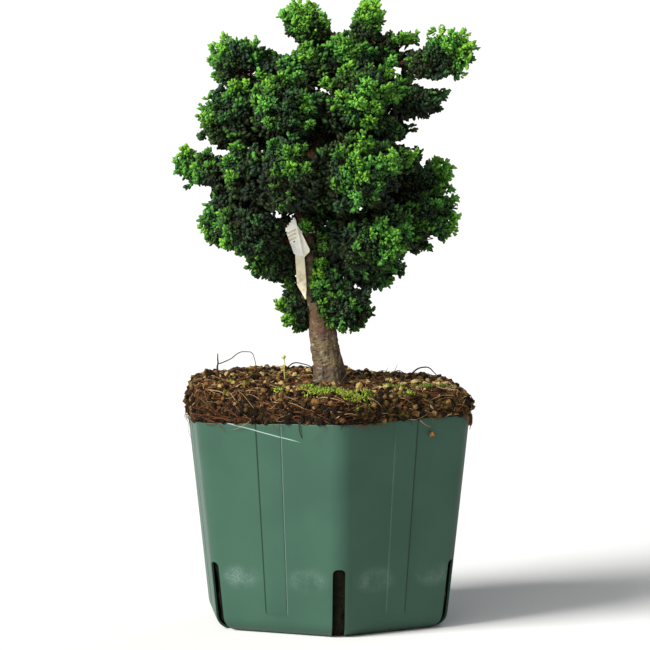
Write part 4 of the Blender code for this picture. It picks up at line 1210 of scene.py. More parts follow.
def bark_finish(name, base, second, third, red_from, red_full):
    """Flaking bark: three colours in patches, redder above a height, with small flakes lying level."""
    finish = Finish(name, base, 0.85)
    colour = finish.patches(base, second, 110, 0.42, 0.62, stretch=(1, 1, 0.5))
    colour = finish.patches(colour, third, 170, 0.52, 0.66, stretch=(1, 1, 0.7))
    colour = finish.patches(colour, BARK_PALE, 190, 0.54, 0.66, 4, (1, 1, 1.3), 0.6)
    flakes = finish.noise(420, 4, (1, 1, 2.0))
    colour = finish.mix(0.75 * finish.ramp(flakes, 0.48, 0.34), colour, BARK_DARK)
    height = finish.axes()[2] + 0.02 * finish.noise(60, 2)
    colour = finish.mix(0.85 * finish.ramp(height, red_from, red_full), colour, BARK_RED)
    collar = finish.ramp(height, *BARK_COLLAR[0]) * finish.ramp(height, *BARK_COLLAR[1])
    colour = finish.mix(0.5 * collar, colour, BARK_RED)
    # Darker at the foot: soil stains and painted shade near the ground
    colour = finish.mix(0.6 * finish.ramp(height, *BARK_DARK_FOOT), colour, BARK_DARK)
    finish.feed({"Base Color": colour})
    fissures = finish.noise(620, 4, (1, 1, 0.6))
    finish.bump(flakes + 0.7 * fissures, 1.3 * MM, 1.0)
    return finish


STATIONS = smooth_path(TRUNK_STATIONS, TRUNK_RINGS) * MM
TRUNK = Limb(STATIONS[:, :3], STATIONS[:, 3])
masses = [Mass(name, *facts) for name, facts in MASSES.items()]
limbs = label_limbs()
for mass in masses:
    mass.find_root(limbs)
    limbs.append(mass.limb)
for index, mass in enumerate(masses):
    for other in masses[index + 1 :]:
        mass.meet(other)

drawn = smooth_path((TRUNK_FOOT, *TRUNK_STATIONS), TRUNK_DRAWN_RINGS) * MM
path, radius = drawn[:, :3], drawn[:, 3:]
around = math.tau * np.arange(TRUNK_SIDES) / TRUNK_SIDES
fade = np.clip(1 - (path[:, 2:] - GROUND) / ROOT_LOBE_HEIGHT, 0, 1.2)
lobes = 1 + ROOT_LOBE_DEPTH * fade * np.cos(ROOT_LOBES * around + 0.8)
bark_place = np.broadcast_arrays(radius * np.cos(around), radius * np.sin(around), path[:, 2:])
bark_place = np.stack(bark_place, axis=-1)
fissures = 1 - 2 * np.abs(lattice_noise(bark_place * (1, 1, 0.22), 2.2 * MM, 21))
flakes = 1 - 2 * np.abs(lattice_noise(bark_place * (0.7, 0.7, 1.3), 2.6 * MM, 22))
knots = lattice_noise(bark_place * (1, 1, 0.5), 9 * MM, 23)
relief = (BARK_RELIEF * fissures + BARK_RELIEF * flakes + KNOT_RELIEF * knots) * radius
trunk_bark = bark_finish("bark", BARK_GREY, BARK_OLIVE, BARK_PURPLE, 0.222, 0.262)
points, faces = tubes(path[None], (radius * lobes + relief)[None], TRUNK_SIDES)
settle(skin("trunk_bark", points, faces, trunk_bark), "bark", "trunk")

boughs = [mass.bough for mass in masses if mass.bough]
curves = np.stack([bough.drawn(BOUGH_DRAWN_RINGS) for bough in boughs])
paths, radii = curves[..., :3], curves[..., 3]
out = np.linalg.norm(paths - paths[:, :1], axis=-1)
from_bark = out - np.array([trunk_radius(bough.path[0, 2]) for bough in boughs])[:, None]
collar, collar_length = BOUGH_COLLAR
radii = radii * (1 + collar * np.exp(-np.maximum(from_bark, 0) / collar_length))
radii = radii * (1 + BOUGH_KNOBS * lattice_noise(paths, 5 * MM, 24))
# The wander grows over the first 30 mm from the trunk's middle
loose = (out / (30 * MM))[..., None].clip(0, 1)
paths = paths + wander(paths, 12 * MM, 25) * BOUGH_WANDER * loose
bough_bark = bark_finish("bough_bark", BARK_PURPLE, BARK_RED, BARK_OLIVE, 0.20, 0.25)
points, faces = tubes(paths, radii, 12)
bough_nodes = ["bough_" + mass.name for mass in masses if mass.bough]
settle(skin("boughs_bark", points, faces, bough_bark), "bark", *bough_nodes)

paths, radii = drawn_twigs(STUBS, 14, (1.3, 0.8))
settle(skin("broken_twigs", *tubes(paths, radii, 8), matt("dead_twig", DEAD_TWIG_BROWN)), "bark")

# Foliage
# Dense dwarf cypress: every mass is a stem with twigs that end in small cupped fans of scale-leaved
# shoots, bunched like florets. New tips are yellow-green, older shoots deep green, and the shaded inside
# blue-green. Each shoot's green is also dealt by how much light reaches it, which paints light and shade
# into the greens.

ELLIPSOID_POWER = 1.6
GOLDEN_ANGLE = math.pi * (3 - math.sqrt(5))
FIRST_TUFT = 0.7
TUFT_SHAKE = 0.25
TUFT_LEAN_ALONG = 0.45
TUFT_LEAN_UP = 0.35
TWIG_FOOT_SPREAD = 0.75
TWIG_FOOT_BACK = 0.2
FAN_ROLL = 0.6
# Each layer's spacing, how far back it goes, how far out its tips lie, its sprigs' length, its fans to a
# sprig, and how open the crown must be for a sprig to be seen
LAYERS = (
    (15.5 * MM, -0.85, (0.82, 1.0), 18 * MM, 5, 0.02),
    (15 * MM, -0.85, (0.55, 0.78), 15 * MM, 4, 0.022),
    (17 * MM, -0.9, (0.25, 0.5), 14 * MM, 3, 0.025),
)
# A sprig's fans sit on its axis, which ends at this share of its length, and its light is read near its tip
SPRIG_AXIS = 0.6
SPRIG_LIT_AT = 0.85
# Soft hollows in the layers: how far apart, and how deep as a share of the way to a mass's middle
HOLLOW_SPACING = 18 * MM
HOLLOW_SHARE = 0.5
SPRIG_LEAN_SHAKE = 0.16
SPRIG_LENGTH_SHAKE = 0.2
SPRIG_LENGTHS = (0.65, 1.4)
# Fans near a sprig's root and near its tip: their tilt off its axis, and their length as a share of it
FAN_TILT = np.radians((62.5, 32.5))
FAN_LENGTH = (0.62, 0.32)
# The same of the fan that ends the sprig, and where that fan starts. The others start below it
END_FAN_TILT = 0.1
END_FAN_LENGTH = 0.42
FAN_START = 0.62
FAN_FLATNESS = 0.65
FAN_TURN_SHAKE = 0.25
FAN_TILT_SHAKE = 0.13
FAN_FACE_SHAKE = 0.25
FAN_SLIP = 0.05
FAN_LENGTHS = (0.85, 1.15)
# Branchlets near a fan's root and near its tip: their swing off its axis, and where they start and their
# length as shares of the fan's
BRANCHLET_SWING = np.radians((74, 14))
BRANCHLET_START = (0.12, 0.62)
BRANCHLET_LENGTH = (0.42, 0.28)
BRANCHLET_SWING_SHAKE = 0.2
# How far branchlets dip out of their fan's face, in the mean and at random
BRANCHLET_DIP = (0.1, 0.5)
# A fan's branchlets and the shoots on each, and how much larger its shoots are: where the crown is more
# open than this share, and where it is less
OPEN_SHARE = 0.075
FULL_FAN = (6, 4, 1)
SPARE_FAN = (4, 3, 1.4)
# How far shoots turn off their branchlet near its root and at its end
SHOOT_TURN = (1.1, 0.35)
SHOOT_SHAKE = 0.42
# The least and the largest branchlet and shoot, as factors
GROWTH = (0.75, 1.2)
SHOOT_SIDES = 3
SHOOT_LENGTH = 3.5 * MM
SHOOT_RADIUS = 1.0 * MM
SHOOT_WIDE = 1.12
SHOOT_THIN = 0.82
# How clear of the trunk's bark and the label's loop sprigs and shoots stay
SPRIG_ROOM = 1.5 * MM
SHOOT_ROOM = 0.4 * MM
LOOP_ROOM = 0.8 * MM
PAST_WALLS = 4 * MM
PAST_SPACE = 1.01
LIGHT_PATH = 8 * MM
FULL_LIGHT = 0.24
# A shoot's tone: how much it gains in full light, at most, with no light, from its sprig's middle to its
# tip, from its fan's middle to its rim, and from pointing level to pointing up, and how uneven it is. The
# gains in light and from pointing up are painted light and shade
TONE_IN_LIGHT = 0.85
TONE_MOST_LIGHT = 1.2
TONE_START = -0.12
TONE_TO_TIP = 1.1
TONE_TO_RIM = 0.4
TONE_UP = 0.06
TONE_SHAKE = 0.05
HUE_SHAKE = 0.5
PATCH_SPACING = 24 * MM
PATCH_TONE = 0.16
SPRIG_TONE = 0.16
PIECE_SHOOTS = 18000
# Tips of sprigs that grow from the trunk itself and hide its upper part in front, in millimetres
TRUNK_SPRIGS = (
    (-4, -19, 264), (5, -18, 257), (-2, -21, 248), (6, -20, 240), (-3, -20, 232), (6, -18, 225),
    (10, -13, 214), (0, -20, 218), (-13, -14, 268), (12, -12, 233), (8, -14, 268), (-5, -19, 225),
    (3, -17, 208), (-4, -17, 212), (8, -12, 262), (11, 3, 262), (9, 12, 258), (-11, -7, 327),
    (-9, 9, 322), (-28, 0, 223), (-24, -3, 218), (-20, -5, 211), (14, -7, 219), (11, -12, 219.5),
    (21.5, -8, 261), (16, -13, 220),
)
TRUNK_SPRIG_DROP = 7 * MM
TRUNK_SPRIG_LENGTH = 12 * MM
# More sprigs stand all round the trunk, in the space that the masses leave: their lowest and highest tip
# and their spacing, and their reach from its middle
TRUNK_SPRIG_HEIGHTS = (212 * MM, 386 * MM, 3 * MM)
TRUNK_SPRIG_REACH = (12 * MM, 21 * MM)
# Short sprigs stand round the outer part of each bough too: how many, between which shares of its length,
# their reach from its middle and their length
BOUGH_SPRIGS = 14
BOUGH_SPRIG_SHARES = (0.45, 1.0)
BOUGH_SPRIG_REACH = (7 * MM, 11 * MM)
BOUGH_SPRIG_LENGTH = 8 * MM
BOUGH_SPRIG_LEAN = 0.5
# Where the photo shows sky through the crown or cut into it: across and up, half width and half height
SKY_GAPS = (
    (-51, 352, 6, 2.5), (-38, 384, 8, 15), (-26, 369, 8, 7), (-31, 379, 5, 7), (12.5, 386, 4, 10),
    (50, 367, 10, 2.6), (61, 372, 3, 8), (66, 343.5, 15, 3.5), (40, 328, 4, 4), (55, 320, 9, 2.2),
    (52, 306.5, 12, 3.5), (61, 294, 3, 5), (67, 245, 4.5, 4), (95, 354, 6, 8), (-68, 300.5, 8, 2.6),
    (-81, 277, 9, 4.5), (-54, 282.5, 3.5, 3.2), (-19.5, 262, 3.5, 1.8),
)
# Patches of painted light and shade in the crown, lighter where the photo shows bright new growth in the
# light and darker where it shows deep shade: across, up, radius, and how much lighter
LIGHT_SPOTS = (
    (-21, 394, 8, 0.35), (-1, 379, 10, 0.5), (13, 363, 9, 0.5), (30, 390, 8, 0.35), (52, 373, 6, 0.3),
    (88, 373, 10, 0.35), (-70, 371, 7, 0.3), (-52, 344, 11, 0.35), (-77, 325, 7, 0.25), (47.5, 339, 8, 0.4),
    (25, 329, 10, 0.45), (-10, 326, 10, 0.45), (-20, 290, 9, 0.35), (25, 293, 10, 0.45), (30, 277, 6, 0.45),
    (12, 283, 6, 0.35), (16, 257, 7, 0.35), (39, 247, 8, 0.3), (72, 293, 7, 0.2), (81, 273, 8, 0.3),
    (19, 223, 9, 0.15), (22, 202, 14, -0.25), (-89, 289, 10, 0.3), (-74, 267, 6, 0.35), (-72, 254, 6, 0.25),
    (-21, 312, 6, 0.25), (-4, 251, 5, 0.35), (-8, 228, 6, 0.05), (-24, 215, 5, 0.05), (-24, 198, 11, -0.15),
    (-44, 273, 15, -0.45), (2, 313, 9, -0.35), (37, 267, 12, -0.4), (9, 234, 12, -0.45),
    (-18, 277, 9, -0.35), (-59, 364, 8, -0.3), (70, 357, 10, -0.35), (62, 331, 9, -0.25),
    (-49, 247, 11, -0.25), (-27, 336, 10, -0.3), (23, 351, 8, -0.35), (42, 319, 7, -0.3),
    (52, 234, 8, -0.35), (4, 200, 8, -0.4), (-13, 354, 8, -0.2),
)
GAP_RAGGEDNESS = 0.7
GAP_RAG_SPACING = 4 * MM
# The label lies in the light, in a lane this wide that runs this far towards the key light
LIGHT_LANE = (4.5 * MM, 80 * MM)
GREENS = (
    ("green_shade", (0.015, 0.023, 0.010)),
    ("green_blue", (0.022, 0.042, 0.018)),
    ("green_deep", (0.028, 0.074, 0.018)),
    ("green_mid", (0.044, 0.137, 0.020)),
    ("green_fresh", (0.076, 0.228, 0.026)),
    ("green_tip", (0.132, 0.340, 0.038)),
)
# A cooler and a warmer kind of each green, as factors on its red, green and blue
HUES = (("cool", (0.88, 0.96, 1.2)), ("warm", (1.10, 1.0, 0.78)))
# The tones at which each green gives way to the next
GREEN_STEPS = (0.10, 0.30, 0.50, 0.73, 1.0)
SHADE_SWELL = 1.2
TWIG_BROWN = (0.085, 0.040, 0.024)
# A twig's radii from its foot to its end, how far it strays and how far it sags
TWIG_RADII = (0.8 * MM, 0.65 * MM, 0.5 * MM, 0.3 * MM)
TWIG_STRAY = 0.8 * MM
TWIG_SAG = 0.6 * MM
# How far a mass's stem runs out in it, its radius there, and how far its foot is sunk, as a share of its
# first step
STEM_DRAWN_REACH = 0.6
STEM_END_RADIUS = 0.4 * MM
STEM_SINK = 0.6


def ellipsoid_area(half):
    """The area of an ellipsoid with these half sizes, by a power mean that is right within 2%."""
    a, b, c = half**ELLIPSOID_POWER
    return 4 * math.pi * ((a * b + a * c + b * c) / 3) ** (1 / ELLIPSOID_POWER)


def between(pair, share):
    """The value that lies this share of the way from the first of a pair to the second."""
    return pair[0] + (pair[1] - pair[0]) * share


def spiral_sprigs(mass, rng, spacing, back_to, reach, length):
    """Where the sprigs of one layer stand: a golden spiral over the mass's space from tip to root, a little
    uneven. Gives each twig's foot on the stem, and the sprig's root, direction, width and length."""
    along = mass.frame[0]
    count = round(ellipsoid_area(mass.half) / spacing**2)
    order = np.arange(count)
    height = 1 - (2 * order + FIRST_TUFT) / count
    order, height = order[height > back_to], height[height > back_to]
    ring = np.sqrt(np.maximum(0, 1 - height**2))
    angle = rng.uniform(0, math.tau) + order * GOLDEN_ANGLE
    angle = angle + rng.uniform(-TUFT_SHAKE, TUFT_SHAKE, len(order))
    ball = np.stack((height, ring * np.cos(angle), ring * np.sin(angle)), axis=1)
    tip = mass.centre + (ball * mass.half) @ mass.frame * rng.uniform(*reach, (len(order), 1))
    hollow = HOLLOW_SHARE * np.maximum(lattice_noise(tip, HOLLOW_SPACING, 31), 0)[:, None]
    tip = tip - (tip - mass.centre) * hollow
    square = unit((ball / mass.half) @ mass.frame)
    lean = TUFT_LEAN_ALONG * along + TUFT_LEAN_UP * UP + rng.normal(0, SPRIG_LEAN_SHAKE, tip.shape)
    outward = unit(square + lean)
    foot = mass.centre + along * mass.half[0] * (TWIG_FOOT_SPREAD * height[:, None] - TWIG_FOOT_BACK)
    flat = np.cross(outward, UP) + rng.uniform(-FAN_ROLL, FAN_ROLL, (len(order), 1)) * UP + SLIGHTLY_BACK
    width = unit(flat - outward * (flat * outward).sum(1, keepdims=True))
    length = length * np.exp(rng.normal(0, SPRIG_LENGTH_SHAKE, (len(order), 1))).clip(*SPRIG_LENGTHS)
    return foot, tip - outward * length, outward, width, length


def trunk_sprigs(rng):
    """The sprigs that grow from the trunk, in front of it and in a golden spiral round it wherever no mass
    takes the space, in the same form as those of a layer."""
    height = np.arange(*TRUNK_SPRIG_HEIGHTS)
    angle = np.arange(len(height)) * GOLDEN_ANGLE
    reach = rng.uniform(*TRUNK_SPRIG_REACH, len(height))
    round_trunk = np.column_stack((reach * np.cos(angle), reach * np.sin(angle), np.zeros(len(height))))
    round_trunk += [trunk_point(level) for level in height]
    taken = np.any([mass.holds(round_trunk, 1, 0) for mass in masses], axis=0)
    tip = np.vstack((np.array(TRUNK_SPRIGS) * MM, round_trunk[~taken]))
    foot = np.array([trunk_point(level - TRUNK_SPRIG_DROP) for level in tip[:, 2]])
    outward = unit(tip - foot + 0.3 * TRUNK_SPRIG_DROP * UP)
    length = np.full((len(tip), 1), TRUNK_SPRIG_LENGTH)
    return foot, tip - outward * length, outward, unit(np.cross(outward, UP)), length


def bough_sprigs(rng):
    """The sprigs in a golden spiral round the outer part of each bough, wherever no mass takes the space,
    in the same form as those of a layer."""
    angle = np.arange(BOUGH_SPRIGS)[:, None] * GOLDEN_ANGLE
    feet, directions = [], []
    for bough in boughs:
        feet.append(bough.along(np.linspace(*BOUGH_SPRIG_SHARES, BOUGH_SPRIGS))[0])
        heading = unit(bough.path[-1] - bough.path[0])
        side = unit(np.cross(heading, UP))
        beside = np.cos(angle) * side + np.sin(angle) * np.cross(side, heading)
        directions.append(beside + BOUGH_SPRIG_LEAN * heading)
    foot, outward = np.concatenate(feet), unit(np.concatenate(directions))
    tip = foot + outward * rng.uniform(*BOUGH_SPRIG_REACH, (len(foot), 1))
    free = ~np.any([mass.holds(tip, 1, 0) for mass in masses], axis=0)
    foot, tip, outward = foot[free], tip[free], outward[free]
    length = np.full((len(foot), 1), BOUGH_SPRIG_LENGTH)
    return foot, tip - outward * length, outward, unit(np.cross(outward, UP)), length


def as_seen(points):
    """The points moved along the camera's lines of sight to the upright plane through the pot's middle."""
    eye = np.array(camera.location)
    return eye + (points - eye) * (eye[1] / (eye[1] - points[..., 1:2]))


def in_sky(points):
    """Which points the camera sees in front of one of the gaps that show the sky."""
    seen = as_seen(points)
    across, up, half_width, half_height = np.array(SKY_GAPS).T * MM
    off = ((seen[..., :1] - across) / half_width) ** 2 + ((seen[..., 2:] - up) / half_height) ** 2
    ragged = 1 + GAP_RAGGEDNESS * lattice_noise(points, GAP_RAG_SPACING, 33)[..., None]
    return (off < ragged).any(-1)


def spot_tone(points):
    """How much lighter the spots of painted light and shade make each point: the sum of
    amount * exp(-(distance / radius)^2).
    """
    seen = as_seen(points)
    across, up, radius, amount = np.array(LIGHT_SPOTS).T
    off = (seen[:, :1] - across * MM) ** 2 + (seen[:, 2:] - up * MM) ** 2
    return (amount * np.exp(-off / (radius * MM) ** 2)).sum(1)


def feathered_fans(rng, root, outward, width, length, fans):
    """The fans of many sprigs. One ends the sprig, and the others leave it in a flattened spiral, long and
    wide near its root and short and close near its tip, which makes it pointed. Gives each fan's root,
    direction, width and length by sprig and fan."""
    count = len(root)
    face = np.cross(outward, width)
    order = np.arange(fans)
    at = np.where(order == 0, 1.0, (order - 0.5) / fans)
    around = rng.uniform(0, math.tau, (count, 1)) + order * GOLDEN_ANGLE
    around = (around + rng.normal(0, FAN_TURN_SHAKE, (count, fans)))[..., None]
    tilt = np.where(order == 0, END_FAN_TILT, between(FAN_TILT, at))
    tilt = tilt + rng.normal(0, FAN_TILT_SHAKE, (count, fans))
    beside = np.cos(around) * width[:, None] + FAN_FLATNESS * np.sin(around) * face[:, None]
    heading = np.cos(tilt)[..., None] * outward[:, None] + np.sin(tilt)[..., None] * beside
    face_shake = rng.normal(0, FAN_FACE_SHAKE, heading.shape)
    edge = np.cross(heading, outward[:, None] + face_shake + SLIGHTLY_BACK)
    share = FAN_START * at + rng.uniform(-FAN_SLIP, FAN_SLIP, (count, fans))
    start = root[:, None] + outward[:, None] * (share * length)[..., None]
    size = np.where(order == 0, END_FAN_LENGTH, between(FAN_LENGTH, at)) * length
    size = size * rng.uniform(*FAN_LENGTHS, (count, fans))
    return start, unit(heading), unit(edge), size[..., None]


def openness(points):
    """How open the crown is round each point: the mean, over directions spread evenly and weighted to the
    sky, of exp(-the way through the masses / the light's path)."""
    count = 48
    height = 1 - (2 * np.arange(count) + 1) / count
    angle = np.arange(count) * GOLDEN_ANGLE
    ring = np.sqrt(1 - height**2)
    rays = np.stack((ring * np.cos(angle), ring * np.sin(angle), height), axis=1)
    through = np.zeros((len(points), count))
    for mass in masses:
        local = (points - mass.centre) @ mass.frame.T / mass.half
        slope = rays @ mass.frame.T / mass.half
        a = (slope**2).sum(1)
        b = local @ slope.T
        c = (local**2).sum(1)[:, None] - 1
        root = np.sqrt(np.maximum(b**2 - a * c, 0))
        through += np.maximum(root - b, 0) / a - np.maximum(-root - b, 0) / a
    weight = 1 + 0.5 * height
    return (np.exp(-through / LIGHT_PATH) * weight).sum(1) / weight.sum()


def fan_shoots(rng, root, outward, width, length, branches, shoots, swell):
    """The shoots of many fans. Branchlets leave a fan's axis by turns left and right, wide near its root
    and close to its tip, and shoots leave each branchlet by turns and spread at its end. Gives each shoot's
    foot, direction, length, radius and how far out it lies in its fan, by fan, branchlet and shoot."""
    count = len(root)
    face = np.cross(outward, width)[:, None]
    at = (np.arange(branches) + 0.6) / branches
    side = np.where(np.arange(branches) % 2, 1, -1)
    shake = rng.normal(0, BRANCHLET_SWING_SHAKE, (count, branches))
    swing = side * between(BRANCHLET_SWING, at) + shake
    dip = rng.normal(*BRANCHLET_DIP, (count, branches, 1))
    branch = np.cos(swing)[..., None] * outward[:, None] + np.sin(swing)[..., None] * width[:, None]
    branch = unit(branch + dip * face)
    start = root[:, None] + outward[:, None] * length[:, None] * between(BRANCHLET_START, at)[:, None]
    reach = length[:, None] * between(BRANCHLET_LENGTH, at)[:, None]
    reach = reach * rng.uniform(*GROWTH, (count, branches, 1))
    step = (np.arange(shoots) + 1) / shoots
    foot = start[:, :, None] + (branch * reach)[:, :, None] * step[:, None] ** 0.8
    turn = (np.where(np.arange(shoots) % 2, 1, -1) * between(SHOOT_TURN, step))[:, None]
    beside = np.cross(face[:, :, None], branch[:, :, None])
    heading = branch[:, :, None] + turn * beside + rng.normal(0, SHOOT_SHAKE, foot.shape)
    size = rng.uniform(*GROWTH, foot.shape[:3]) * swell
    out = np.broadcast_to(0.5 * at[:, None] + 0.5 * step, size.shape)
    return foot, unit(heading), size * SHOOT_LENGTH, size * SHOOT_RADIUS, out


def shoot_tones(rng, lit, far, out, up):
    """How light each shoot's green is: a sum of the light on its sprig, how far it lies along the sprig and
    out in its fan, how much it points up, and a random share. The light and the pointing up paint light and
    shade into the green."""
    tone = TONE_IN_LIGHT * np.minimum(lit / FULL_LIGHT, TONE_MOST_LIGHT) + TONE_START
    tone = tone + TONE_TO_TIP * (far - 0.7) + TONE_TO_RIM * (out - 0.5) + TONE_UP * up
    return tone + rng.normal(0, TONE_SHAKE, out.shape)


def shoot_shape(sides):
    """A blunt shoot along +Z, one long and one in radius: two rings, closed flat at its foot and to a point
    at its tip."""
    angle = math.tau * np.arange(sides) / sides
    circle = np.stack((np.cos(angle), np.sin(angle), np.zeros(sides)), axis=1)
    points = np.concatenate((circle * 0.75, circle + 0.68 * UP, UP[None]))
    walls = grid_faces(2, sides)
    tip = fan_faces(sides, sides, 2 * sides, False)
    foot = np.arange(sides)[None, ::-1]
    return points, np.concatenate((walls[:, (0, 1, 2)], walls[:, (0, 2, 3)], tip, foot))


def green_finish(name, colour):
    """The matt, slightly waxy green of scale leaves."""
    finish = Finish(name, colour, 0.62)
    finish.bump(finish.noise(1500, 2), 0.25 * MM, 0.5)
    return finish


rng = np.random.default_rng(29)
tag, view, loop = label_limbs()
near = [TRUNK, tag, view, loop]
towards_light = unit(np.array(LIGHTS["key_light"][0]))
middle = np.array((*LABEL_CENTRE, LABEL_TOP - LABEL_HEAD_LENGTH / 2))
lane_radius, lane_length = LIGHT_LANE
lane = Limb((middle, middle + towards_light * lane_length), (lane_radius, 2 * lane_radius))
mass_nodes = [mass.name for mass in masses]
sprigs = []
shoots = []
for *layer, fans, least_light in LAYERS:
    made = [spiral_sprigs(mass, rng, *layer) for mass in masses]
    if not sprigs:
        made += [trunk_sprigs(rng), bough_sprigs(rng)]
    owner = np.repeat(np.arange(len(made)), [len(values[0]) for values in made])
    foot, root, outward, width, length = (np.concatenate(values) for values in zip(*made))
    # Sprigs that nobody could see, or that stand in the label's or the trunk's room, are left out
    axis_end = root + outward * length * SPRIG_AXIS
    light = openness(root + outward * length * SPRIG_LIT_AT)
    seen = (light > least_light) & ~in_sky(axis_end) & (lane.room(axis_end) > 0)
    seen &= np.min([limb.room(axis_end) for limb in near], axis=0) > SPRIG_ROOM
    foot, root, axis_end, outward, width, length, owner, light = (
        values[seen] for values in (foot, root, axis_end, outward, width, length, owner, light)
    )
    sprigs.append((foot, root, axis_end))
    # Each sprig has a lightness and a warmth of its own
    mood = rng.normal(0, SPRIG_TONE, len(root)) + PATCH_TONE * lattice_noise(root, PATCH_SPACING, 32)
    warmth = rng.normal(0, 1, len(root))
    bunch = feathered_fans(rng, root, outward, width, length, fans)
    open_to_light = light > OPEN_SHARE
    for (*fan_size, swell), chosen in ((FULL_FAN, open_to_light), (SPARE_FAN, ~open_to_light)):
        some = [values[chosen].reshape(-1, values.shape[-1]) for values in bunch]
        base, heading, long, thick, out = fan_shoots(rng, *some, *fan_size, swell)
        start, axis, reach, lit, lighter, warmer, home = (
            np.repeat(values[chosen], fans, axis=0)[:, None, None]
            for values in (root, outward, length, light, mood, warmth, owner)
        )
        far = ((base - start) * axis).sum(-1) / reach[..., 0]
        tone = shoot_tones(rng, lit, far, out, heading[..., 2]) + lighter
        home = np.broadcast_to(home, out.shape)
        hue = warmer + rng.normal(0, HUE_SHAKE, out.shape)
        batch = (base, heading, long, thick, tone, home, hue)
        shoots.append([values.reshape(-1, 3) if values.ndim == 4 else values.ravel() for values in batch])
base, heading, long, thick, tone, home, hue = (np.concatenate(values) for values in zip(*shoots))
foot, root, axis_end = (np.concatenate(values) for values in zip(*sprigs))
tip = base + heading * long[:, None]
# A mass keeps the shoots that end in its own space, and all others keep theirs
kept = home >= len(masses)
for index, mass in enumerate(masses):
    own = home == index
    kept[own] = mass.holds(tip[own], PAST_SPACE, PAST_WALLS)
kept &= (TRUNK.room(base) > SHOOT_ROOM) & ~in_sky(base + heading * long[:, None] / 2)
kept &= (tag.room(tip) > SHOOT_ROOM) & (loop.room(tip) > LOOP_ROOM)
kept &= (view.room(tip) > 0) & (lane.room(tip) > 0)
base, heading, long, thick, tone, hue = (values[kept] for values in (base, heading, long, thick, tone, hue))
aside = unit(np.cross(heading, rng.normal(size=heading.shape)))
frames = np.stack((aside, np.cross(heading, aside), heading), axis=1)
sizes = np.stack((thick * SHOOT_WIDE, thick * SHOOT_THIN, long), axis=1)
shape, faces = shoot_shape(SHOOT_SIDES)
# Each shoot's green is dealt by its tone, with painted light and shade from the light on it and the spots
dealt = np.digitize(tone + spot_tone(base), GREEN_STEPS)
# In deep shade two larger shoots stand for three
shade = np.flatnonzero(dealt == 0)
sizes[shade] *= SHADE_SWELL
dealt[shade[::3]] = -1
for step, kind in np.ndindex(len(GREENS), len(HUES)):
    (green, colour), (hue_name, factors) = GREENS[step], HUES[kind]
    name = f"{green}_{hue_name}"
    finish = green_finish(name, np.multiply(colour, factors))
    own = np.flatnonzero((dealt == step) & ((hue > 0) == kind))
    for part, some in enumerate(np.array_split(own, max(1, math.ceil(len(own) / PIECE_SHOOTS)))):
        points = copies(shape, faces, base[some], frames[some], sizes[some])
        settle(skin(f"shoots_{name}_{part}", *points, finish), "foliage", *mass_nodes)

bend = (foot + root) / 2 + rng.normal(0, TWIG_STRAY, foot.shape) - TWIG_SAG * UP
paths = np.stack((foot, bend, root, axis_end), axis=1)
twig_bark = matt("twig_bark", TWIG_BROWN, 0.8)
points, faces = tubes(paths, np.broadcast_to(TWIG_RADII, paths.shape[:2]), 3)
settle(skin("twigs", points, faces, twig_bark), "bark", *mass_nodes)

stems = np.stack([mass.stem.drawn(16) for mass in masses])
ends = np.array([mass.centre + mass.frame[0] * mass.half[0] * STEM_DRAWN_REACH for mass in masses])
paths = np.concatenate((stems[..., :3], ends[:, None]), axis=1)
radii = np.concatenate((stems[..., 3], np.full((len(masses), 1), STEM_END_RADIUS)), axis=1)
# Each stem's foot is sunk into its bough's tip or the trunk
paths[:, 0] -= (paths[:, 1] - paths[:, 0]) * STEM_SINK
settle(skin("mass_stems", *tubes(paths, radii, 7), twig_bark), "bark", *mass_nodes)

# Label
# A cream plastic strap tag, faded and stained: a thick folded head with a stepped edge, three grooves and a
# dark speck, a tail with a pointed end, and a loop that holds it to the trunk.

LABEL_CREAM = (0.93, 0.86, 0.62)
LABEL_WHITE = (0.95, 0.945, 0.88)
LABEL_TAN = (0.46, 0.33, 0.15)
LABEL_SPECK_DARK = (0.03, 0.02, 0.012)
LABEL_LOOP_HEIGHT = 250.5 * MM
LABEL_LOOP_HALF_WIDTH = 0.75 * MM
LABEL_LOOP_THICK = 0.8 * MM
LABEL_LOOP_DRAWN = 72
# Outlines in millimetres: across and up
LABEL_HEAD = ((-20.6, 259.7), (-19.8, 258), (-14.8, 235.4), (-18, 234.6), (-21.2, 236.7), (-26.5, 251.5))
LABEL_FOLD = ((-22, 255), (-18.6, 254.6), (-11, 239.2), (-11.2, 237.6), (-14.3, 234.4), (-19, 236))
LABEL_TAIL = ((-20.6, 240), (-14.8, 240), (-13.1, 217), (-13.3, 207.6), (-13.9, 207.4), (-19.2, 216.6))
LABEL_STEPS = 5
LABEL_ROUNDING = 0.2 * MM
# Each plate's middle in depth and its thickness
LABEL_HEAD_DEPTH = (-11.4 * MM, 1.3 * MM)
LABEL_FOLD_DEPTH = (-9.7 * MM, 2.4 * MM)
LABEL_TAIL_DEPTH = (-9.4 * MM, 1.0 * MM)
# The three grooves' rise across, the first one's height where it would cross the middle, and their spacing
GROOVE_SLOPE = 0.48
GROOVE_START = 256.4 * MM
GROOVE_SPACING = 2.5 * MM
# Where each mark begins and is full: the grooves' edges, the rows below and above which there are none, and
# their two ends; the head's front, in depth; and the stains, down the tail
GROOVE_EDGE = (0.9 * MM, 0.4 * MM)
GROOVE_ROWS = ((255.2 * MM, 255.6 * MM), (262.6 * MM, 262.2 * MM))
GROOVE_ENDS = ((-19.2 * MM, -19.8 * MM), (-25.6 * MM, -24.8 * MM))
LABEL_FRONT = (-10.6 * MM, -11.2 * MM)
STAINED_TAIL = (232 * MM, 212 * MM)
# The dark speck: its place across and up, and its radius
LABEL_SPECK = (-20.9 * MM, 244.3 * MM, 0.7 * MM)


